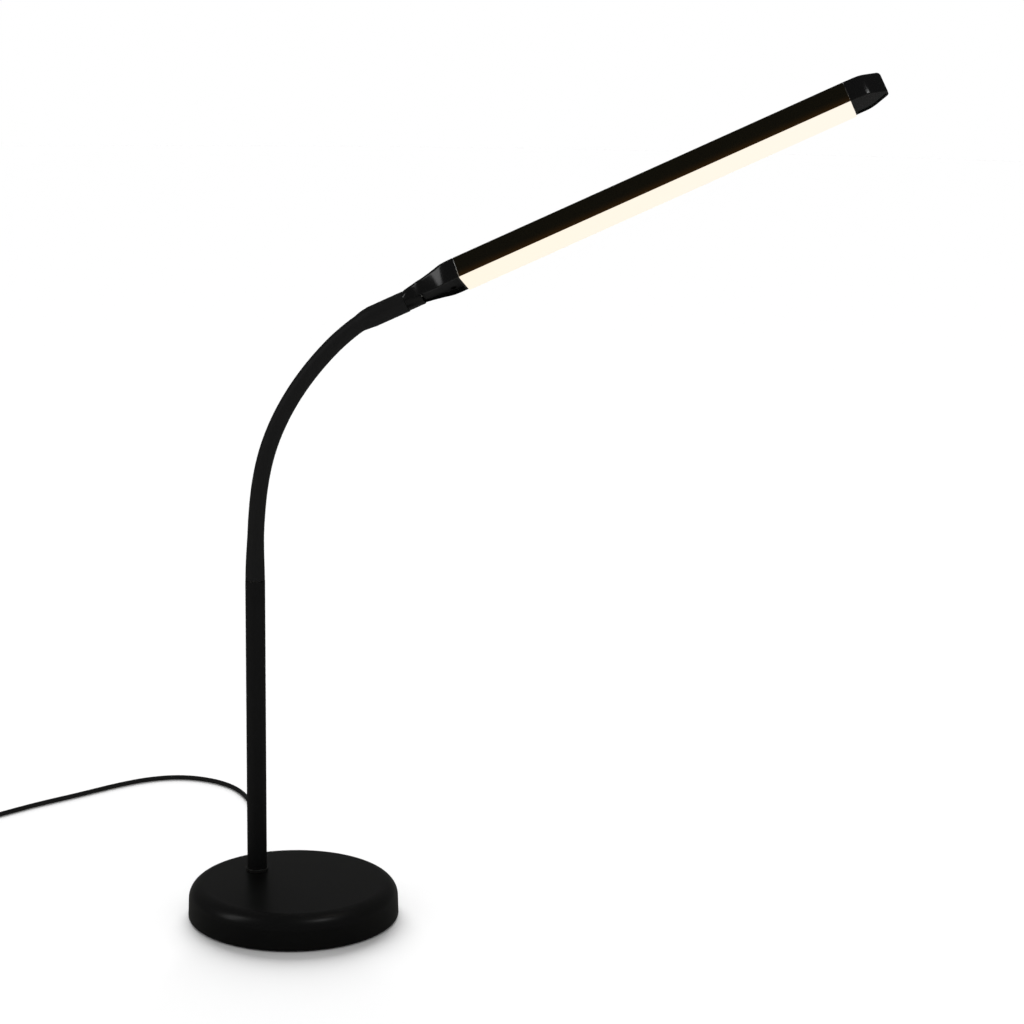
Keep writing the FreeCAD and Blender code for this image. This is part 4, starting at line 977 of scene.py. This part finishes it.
neck_rings = []
for step in range(END_STEPS):
    angle = math.radians(90 * step / END_STEPS)
    back = SEAM + NECK_END_ROUND * (1 - math.cos(angle))
    neck_rings.append(neck_ring(-back, NECK_END_ROUND * (1 - math.sin(angle))))
neck_start = SEAM + NECK_END_ROUND
for step in range(NECK_SLICES + 1):
    neck_rings.append(neck_ring(-neck_start - (NECK_L - neck_start) * step / NECK_SLICES))
neck_cover = skin("neck_cover", neck_rings)
hollow_rings = []
for step in range(HOLLOW_SLICES + 1):
    back = NECK_WALL + (NECK_HOOD_L - NECK_WALL) * step / HOLLOW_SLICES
    hollow_rings.append(neck_ring(-back, NECK_RIM, 2 * BAR_H))
cut(neck_cover, skin("hollow", hollow_rings))
neck_end = Vector((-NECK_L, 0, NECK_AXIS_Z))
barrel_end = Vector((NECK_BARREL_X, 0, NECK_AXIS_Z))
cut(neck_cover, rod("barrel", neck_end, barrel_end, NECK_BARREL_R, ROUND), "UNION")
bore_start = Vector((-NECK_L - NECK_WALL, 0, NECK_AXIS_Z))
cut(neck_cover, rod("bore", bore_start, (NECK_BORE_X, 0, NECK_AXIS_Z), BUSH_R + FIT))
cut(neck_cover, rod("hole", (BUTTON_X, 0, BAR_H / 2), (BUTTON_X, 0, 2 * BAR_H), BUTTON_R + SLIP))
lead_start = Vector((-2 * NECK_WALL, 0, LED_LEAD_Z))
cut(neck_cover, rod("hole", lead_start, (NECK_WALL, 0, LED_LEAD_Z), LED_LEAD_R + SLIP, 24))
soften(neck_cover, NECK_SOFT)
cut(neck_cover, spigot(-NECK_WALL, SPIGOT_DEPTH), "UNION")
put(smooth(neck_cover, 40), on_head)
gloss_black = Finish("gloss_black", Specular_IOR_Level=0.75)
gloss_smears = gloss_black.grain(0.012, 4.0)
gloss_black.colour((0.0026, 0.0026, 0.0026), (0.0036, 0.0036, 0.0035), gloss_smears)
gloss_black.set("Roughness", 0.10 + 0.07 * gloss_smears)
gloss_black.relief(gloss_black.grain(0.004), 0.00001)
settle(neck_cover, gloss_black, "head", "head_gloss", "neck_shell")
lid_black = Finish("lid_black", Specular_IOR_Level=0.35)
lid_black.colour((0.008, 0.008, 0.008), (0.011, 0.011, 0.011), lid_black.grain(0.004))
lid_black.set("Roughness", 0.45 + 0.1 * lid_black.grain(0.001))
lid_black.relief(lid_black.grain(0.0003), 0.00002)
dress(lid_black, "neck_lid", "neck_bush")

# Circuit board, switch and button
# The driver board stands on two posts of the lid and carries a tact switch. The satin push
# button above it passes through the neck's top, out of this view.
board_green = Finish("board_green", Specular_IOR_Level=0.5)
board_green.colour((0.010, 0.085, 0.030), (0.016, 0.12, 0.045), board_green.grain(0.0015))
board_green.set("Roughness", 0.3 + 0.15 * board_green.grain(0.0007))
dress(board_green, "driver_board")
switch_black = Finish("switch_black")
switch_black.colour((0.015, 0.015, 0.016), (0.025, 0.025, 0.026), switch_black.grain(0.001))
switch_black.set("Roughness", 0.4 + 0.15 * switch_black.grain(0.0005))
dress(switch_black, "switch_body")
button_satin = Finish("button_satin", Specular_IOR_Level=0.5)
button_satin.colour((0.03, 0.03, 0.031), (0.04, 0.04, 0.041), button_satin.grain(0.002))
button_satin.set("Roughness", 0.3 + 0.1 * button_satin.grain(0.0006))
button_satin.relief(button_satin.grain(0.0003), 0.00001)
dress(button_satin, "power_button")

# Light channel
# An aluminium extrusion, anodised black and open below, then sawn, so its end at the neck is
# bare. Two pairs of ribs hold the LED board. A painted warm glow lies along its lower edge.
PAINTED_GLOW_REACH = 0.0065
BARE_L = 0.00035
BARE_FADE = 0.00004
BAR_SOFT = 0.0003
wall_y = BAR_W / 2 - BAR_WALL
channel_half = [(wall_y, 0)]
for rib_low in (BOARD_Z - FIT - RIB_T, BOARD_Z + BOARD_T + FIT):
    channel_half += [
        (wall_y, rib_low),
        (wall_y - RIB_W, rib_low),
        (wall_y - RIB_W, rib_low + RIB_T),
        (wall_y, rib_low + RIB_T),
    ]
channel_half.append((wall_y, BAR_H - BAR_ROOF))


def section_between(start, end, section):
    """Two end rings of a section of (y, z) points, for a straight length along the bar."""
    return [[Vector((x, y, z)) for y, z in section] for x in (start, end)]


outside = [(BAR_W / 2, 0)]
for step in range(CORNER_STEPS + 1):
    angle = math.radians(90 * step / CORNER_STEPS)
    corner = Vector((BAR_W / 2 - BAR_TOP_R, BAR_H - BAR_TOP_R))
    outside.append(tuple(corner + Vector((math.cos(angle), math.sin(angle))) * BAR_TOP_R))
channel_section = outside + [(-y, z) for y, z in reversed(outside)]
channel_section += [(-y, z) for y, z in channel_half] + list(reversed(channel_half))
light_bar = skin("light_bar", section_between(SEAM / 3, BAR_L - SEAM / 3, channel_section))
soften(light_bar, BAR_SOFT)
put(light_bar, on_head)


def along(finish, way, start):
    """Distance in metres along a direction, from a place, as a wire."""
    sockets = {0: finish.place, 1: way}
    reached = finish.node("ShaderNodeVectorMath", {"operation": "DOT_PRODUCT"}, sockets)["Value"]
    return reached - start.dot(way)


def held(finish, share):
    """A wire kept between 0 and 1."""
    return finish.node("ShaderNodeClamp", {}, {"Value": share})["Result"]


anodised = Finish("anodised", Specular_IOR_Level=0.25, Emission_Strength=1.0)
anodised_grain = anodised.grain(0.0006, 3.0)
bar_place = along(anodised, arm_way, head_origin)
bare = held(anodised, (BARE_L - bar_place) / BARE_FADE)
black_layer = anodised.between((0.0064, 0.0050, 0.0016), (0.0084, 0.0066, 0.0021), anodised_grain)
anodised.colour(black_layer, (0.72, 0.72, 0.71), bare)
anodised.set("Metallic", bare)
anodised.set("Roughness", 0.24 + 0.08 * anodised_grain)
anodised.relief(anodised_grain, 0.000012)
# Painted glow: a warm emission on the channel itself, strongest at its lower edge and gone some millimetres
# above it.
painted_glow = held(anodised, 1.0 - along(anodised, head_up, head_origin) / PAINTED_GLOW_REACH)
anodised.set("Emission Color", anodised.between((0, 0, 0), (0.020, 0.0072, 0.0004), painted_glow * painted_glow))
settle(light_bar, anodised, "head", "bar_anodised", "light_channel")

# LED board
# A white strip of aluminium-backed board slides between the ribs, with a row of small chips
# under yellow phosphor.
led_white = Finish("led_white", Specular_IOR_Level=0.4)
led_white.colour((0.72, 0.72, 0.70), (0.80, 0.80, 0.78), led_white.grain(0.003))
led_white.set("Roughness", 0.4 + 0.15 * led_white.grain(0.001))
dress(led_white, "led_board")
phosphor = Finish("phosphor", Specular_IOR_Level=0.4, Emission_Strength=0.6)
phosphor.colour((0.78, 0.62, 0.12), (0.88, 0.74, 0.22), phosphor.grain(0.001))
phosphor.set("Emission Color", phosphor.between((0.9, 0.75, 0.4), (1.0, 0.86, 0.55), phosphor.grain(0.001)))
phosphor.set("Roughness", 0.5 + 0.2 * phosphor.grain(0.0004))
dress(phosphor, "led_chips")

# Diffuser
# An opal acrylic profile closes the channel. It is lit evenly from within, a little warmer at
# the neck, and its two legs snap inside the channel's walls.
DIFFUSER_PROUD = 0.0012
DIFFUSER_EDGE_R = 0.0008
DIFFUSER_LEG_T = 0.001
DIFFUSER_LEG_H = 0.005
lens_half = BAR_W / 2 - SEAM
leg_out = wall_y - FIT
leg_in = leg_out - DIFFUSER_LEG_T
lens_edge = []
for step in range(END_STEPS + 1):
    angle = math.radians(90 * step / END_STEPS)
    lens_edge.append((lens_half - DIFFUSER_EDGE_R * (1 - math.sin(angle)),
                      DIFFUSER_EDGE_R * (1 - math.cos(angle)) - DIFFUSER_PROUD))
lens_edge += [(lens_half, -FIT), (leg_out, -FIT), (leg_out, DIFFUSER_LEG_H),
              (leg_in, DIFFUSER_LEG_H), (leg_in, -FIT)]
lens_section = lens_edge + [(-y, z) for y, z in reversed(lens_edge)]
opal_lens = put(skin("opal_lens", section_between(SEAM, BAR_L - SEAM, lens_section)), on_head)
opal = Finish("opal", Specular_IOR_Level=0.3, Emission_Strength=1.0)
bar_share = held(opal, along(opal, arm_way, head_origin) / BAR_L)
opal.colour((0.045, 0.045, 0.043), (0.055, 0.055, 0.053), opal.grain(0.02))
opal.set("Emission Color", opal.between((0.99, 0.895, 0.745), (0.99, 0.905, 0.785), bar_share))
opal.set("Roughness", 0.4 + 0.1 * opal.grain(0.002))
opal.relief(opal.grain(0.0008), 0.00001)
settle(opal_lens, opal, "head", "opal", "diffuser")

# End cap
# A gloss black moulding that narrows to a short blunt nose, with a rounded lower edge and a
# shallow pocket below. Its block slides into the channel's far end.
CAP_L = 0.025
CAP_STRAIGHT_L = 0.0115
CAP_NOSE_W = 0.007
CAP_NOSE_ROUND = 0.003
CAP_SHOULDER_ROUND = 0.016
CAP_DRAFT = 0.0004
CAP_EDGE_R = 0.0008
CAP_WALL = 0.0016
CAP_POCKET = 0.0008
CAP_SOFT = 0.0002
CAP_EDGE_STEPS = 5
CAP_TOP_STEPS = 9
POCKET_TOOL_Z = -0.001


def cap_ring(inset, z, start=SEAM / 3):
    """The end cap's plan at a height, drawn in by an inset, and by the draft towards the nose."""
    draft = CAP_DRAFT * max(z, 0) / BAR_H
    half = BAR_W / 2 - inset
    nose = CAP_NOSE_W / 2 - inset / 2
    x0 = BAR_L + start
    x1 = BAR_L + CAP_STRAIGHT_L
    x2 = BAR_L + CAP_L - inset - draft / 3
    side = rounded_profile([
        (x0, half, 0),
        (x1, half - draft, CAP_SHOULDER_ROUND - inset),
        (x2, nose, max(CAP_NOSE_ROUND - inset, LEAST_TOP_R)),
        (x2, 0, 0),
    ], 10)[:-1]
    return [Vector((x, y, z)) for x, y in side] + [Vector((x, -y, z)) for x, y in reversed(side)]


cap_rings = []
for step in range(CAP_EDGE_STEPS + 1):
    angle = math.radians(90 * step / CAP_EDGE_STEPS)
    cap_rings.append(cap_ring(CAP_EDGE_R * (1 - math.sin(angle)), CAP_EDGE_R * (1 - math.cos(angle))))
for step in range(CAP_TOP_STEPS + 1):
    angle = math.radians(90 * step / CAP_TOP_STEPS)
    height = BAR_H - BAR_TOP_R * (1 - math.sin(angle))
    cap_rings.append(cap_ring(BAR_TOP_R * (1 - math.cos(angle)), height))
bar_cap = skin("bar_cap", cap_rings)
pocket_rings = [cap_ring(CAP_WALL, z, CAP_WALL) for z in (POCKET_TOOL_Z, CAP_POCKET)]
cut(bar_cap, skin("pocket", pocket_rings))
soften(bar_cap, CAP_SOFT, 2, 50)
cut(bar_cap, spigot(BAR_L - SPIGOT_DEPTH, BAR_L + 2 * CAP_WALL), "UNION")
put(smooth(bar_cap, 40), on_head)
settle(bar_cap, gloss_black, "head", "head_gloss", "end_cap")

# Floor and light
# A white table top that runs out of view under a white sky. A soft light from behind lays the
# shadow in front of the base, and two softboxes draw the highlights. Gloss sees both darker.
FLOOR_R = 6
FLOOR_GAP = 0.0001
SHADE_MIDDLE = (0.03, -0.16, 0)
SHADE_R = 0.10
SHADE_FADE = 0.22
SHADE_STRENGTH = 0.034
SHADE_GROWTH = 0.07
SKY_SEEN = 1.0
SKY_AMBIENT = 0.47
SKY_MIRROR = 0.060
BACK_WAY = (-0.16, 0.81, 0.56)
BACK_POWER = 3.58
BACK_SPREAD = 50
AIM = Vector((0.05, 0.05, 0.1))


def mixed(shading, share, first, second):
    """The first shader where a wire is 0, and the second where it is 1."""
    return shading.node("ShaderNodeMixShader", {}, {0: share, 1: first, 2: second})["Shader"]


floor_white = Finish("floor_white", Base_Color=(0.90, 0.90, 0.90, 1), Roughness=1.0, Specular_IOR_Level=0.0)
from_shade = floor_white.node("ShaderNodeVectorMath", {"operation": "DISTANCE"},
                              {0: floor_white.place, 1: SHADE_MIDDLE})["Value"]
outside_shade = held(floor_white, (from_shade - SHADE_R) / SHADE_FADE)
floor_dim = floor_white.node("ShaderNodeEmission", {}, {
    "Color": (1, 1, 0.96, 1),
    "Strength": SHADE_STRENGTH + SHADE_GROWTH * outside_shade,
})["Emission"]
floor_lit = Wire(floor_white.tree, floor_white.shader.outputs["BSDF"])
floor_rays = floor_white.node("ShaderNodeLightPath")
floor_white.show(mixed(floor_white, floor_rays["Is Glossy Ray"], floor_lit, floor_dim))
deselect()
bpy.ops.mesh.primitive_circle_add(vertices=96, radius=FLOOR_R, fill_type="NGON", location=(0, 0, -FLOOR_GAP))
floor = bpy.context.object
floor.name = "floor"
floor.data.materials.append(floor_white.material)


def lamp(name, kind, power, way, distance=0.0):
    """A light that looks at the object from a direction."""
    light_data = bpy.data.lights.new(name, kind)
    light_data.energy = power
    light = bpy.data.objects.new(name, light_data)
    bpy.context.scene.collection.objects.link(light)
    light.location = AIM + Vector(way).normalized() * distance
    light.rotation_euler = Vector(way).to_track_quat("Z", "Y").to_euler()
    return light


def softbox(name, way, distance, width, height, power):
    """A rectangular light that the camera doesn't see."""
    light = lamp(name, "AREA", power, way, distance)
    light.data.shape = "RECTANGLE"
    light.data.size = width
    light.data.size_y = height
    light.visible_camera = False


back_light = lamp("back_light", "SUN", BACK_POWER, BACK_WAY)
back_light.data.angle = math.radians(BACK_SPREAD)
back_light.visible_glossy = False
softbox("left_box", (-0.772, -0.302, 0.559), distance=1.9, width=0.30, height=1.0, power=1.38)
softbox("top_box", (0.424, -0.370, 0.827), distance=2.04, width=0.32, height=0.32, power=1.2)

world = bpy.data.worlds.new("studio")
bpy.context.scene.world = world
sky = Shading(world, "World Output")


def white_sky(strength):
    sockets = {"Color": (1, 1, 1, 1), "Strength": strength}
    return sky.node("ShaderNodeBackground", {}, sockets)["Background"]


sky_rays = sky.node("ShaderNodeLightPath")
sky_unseen = mixed(sky, sky_rays["Is Glossy Ray"], white_sky(SKY_AMBIENT), white_sky(SKY_MIRROR))
sky.show(mixed(sky, sky_rays["Is Camera Ray"], sky_unseen, white_sky(SKY_SEEN)))
bpy.context.scene.view_settings.view_transform = "Standard"
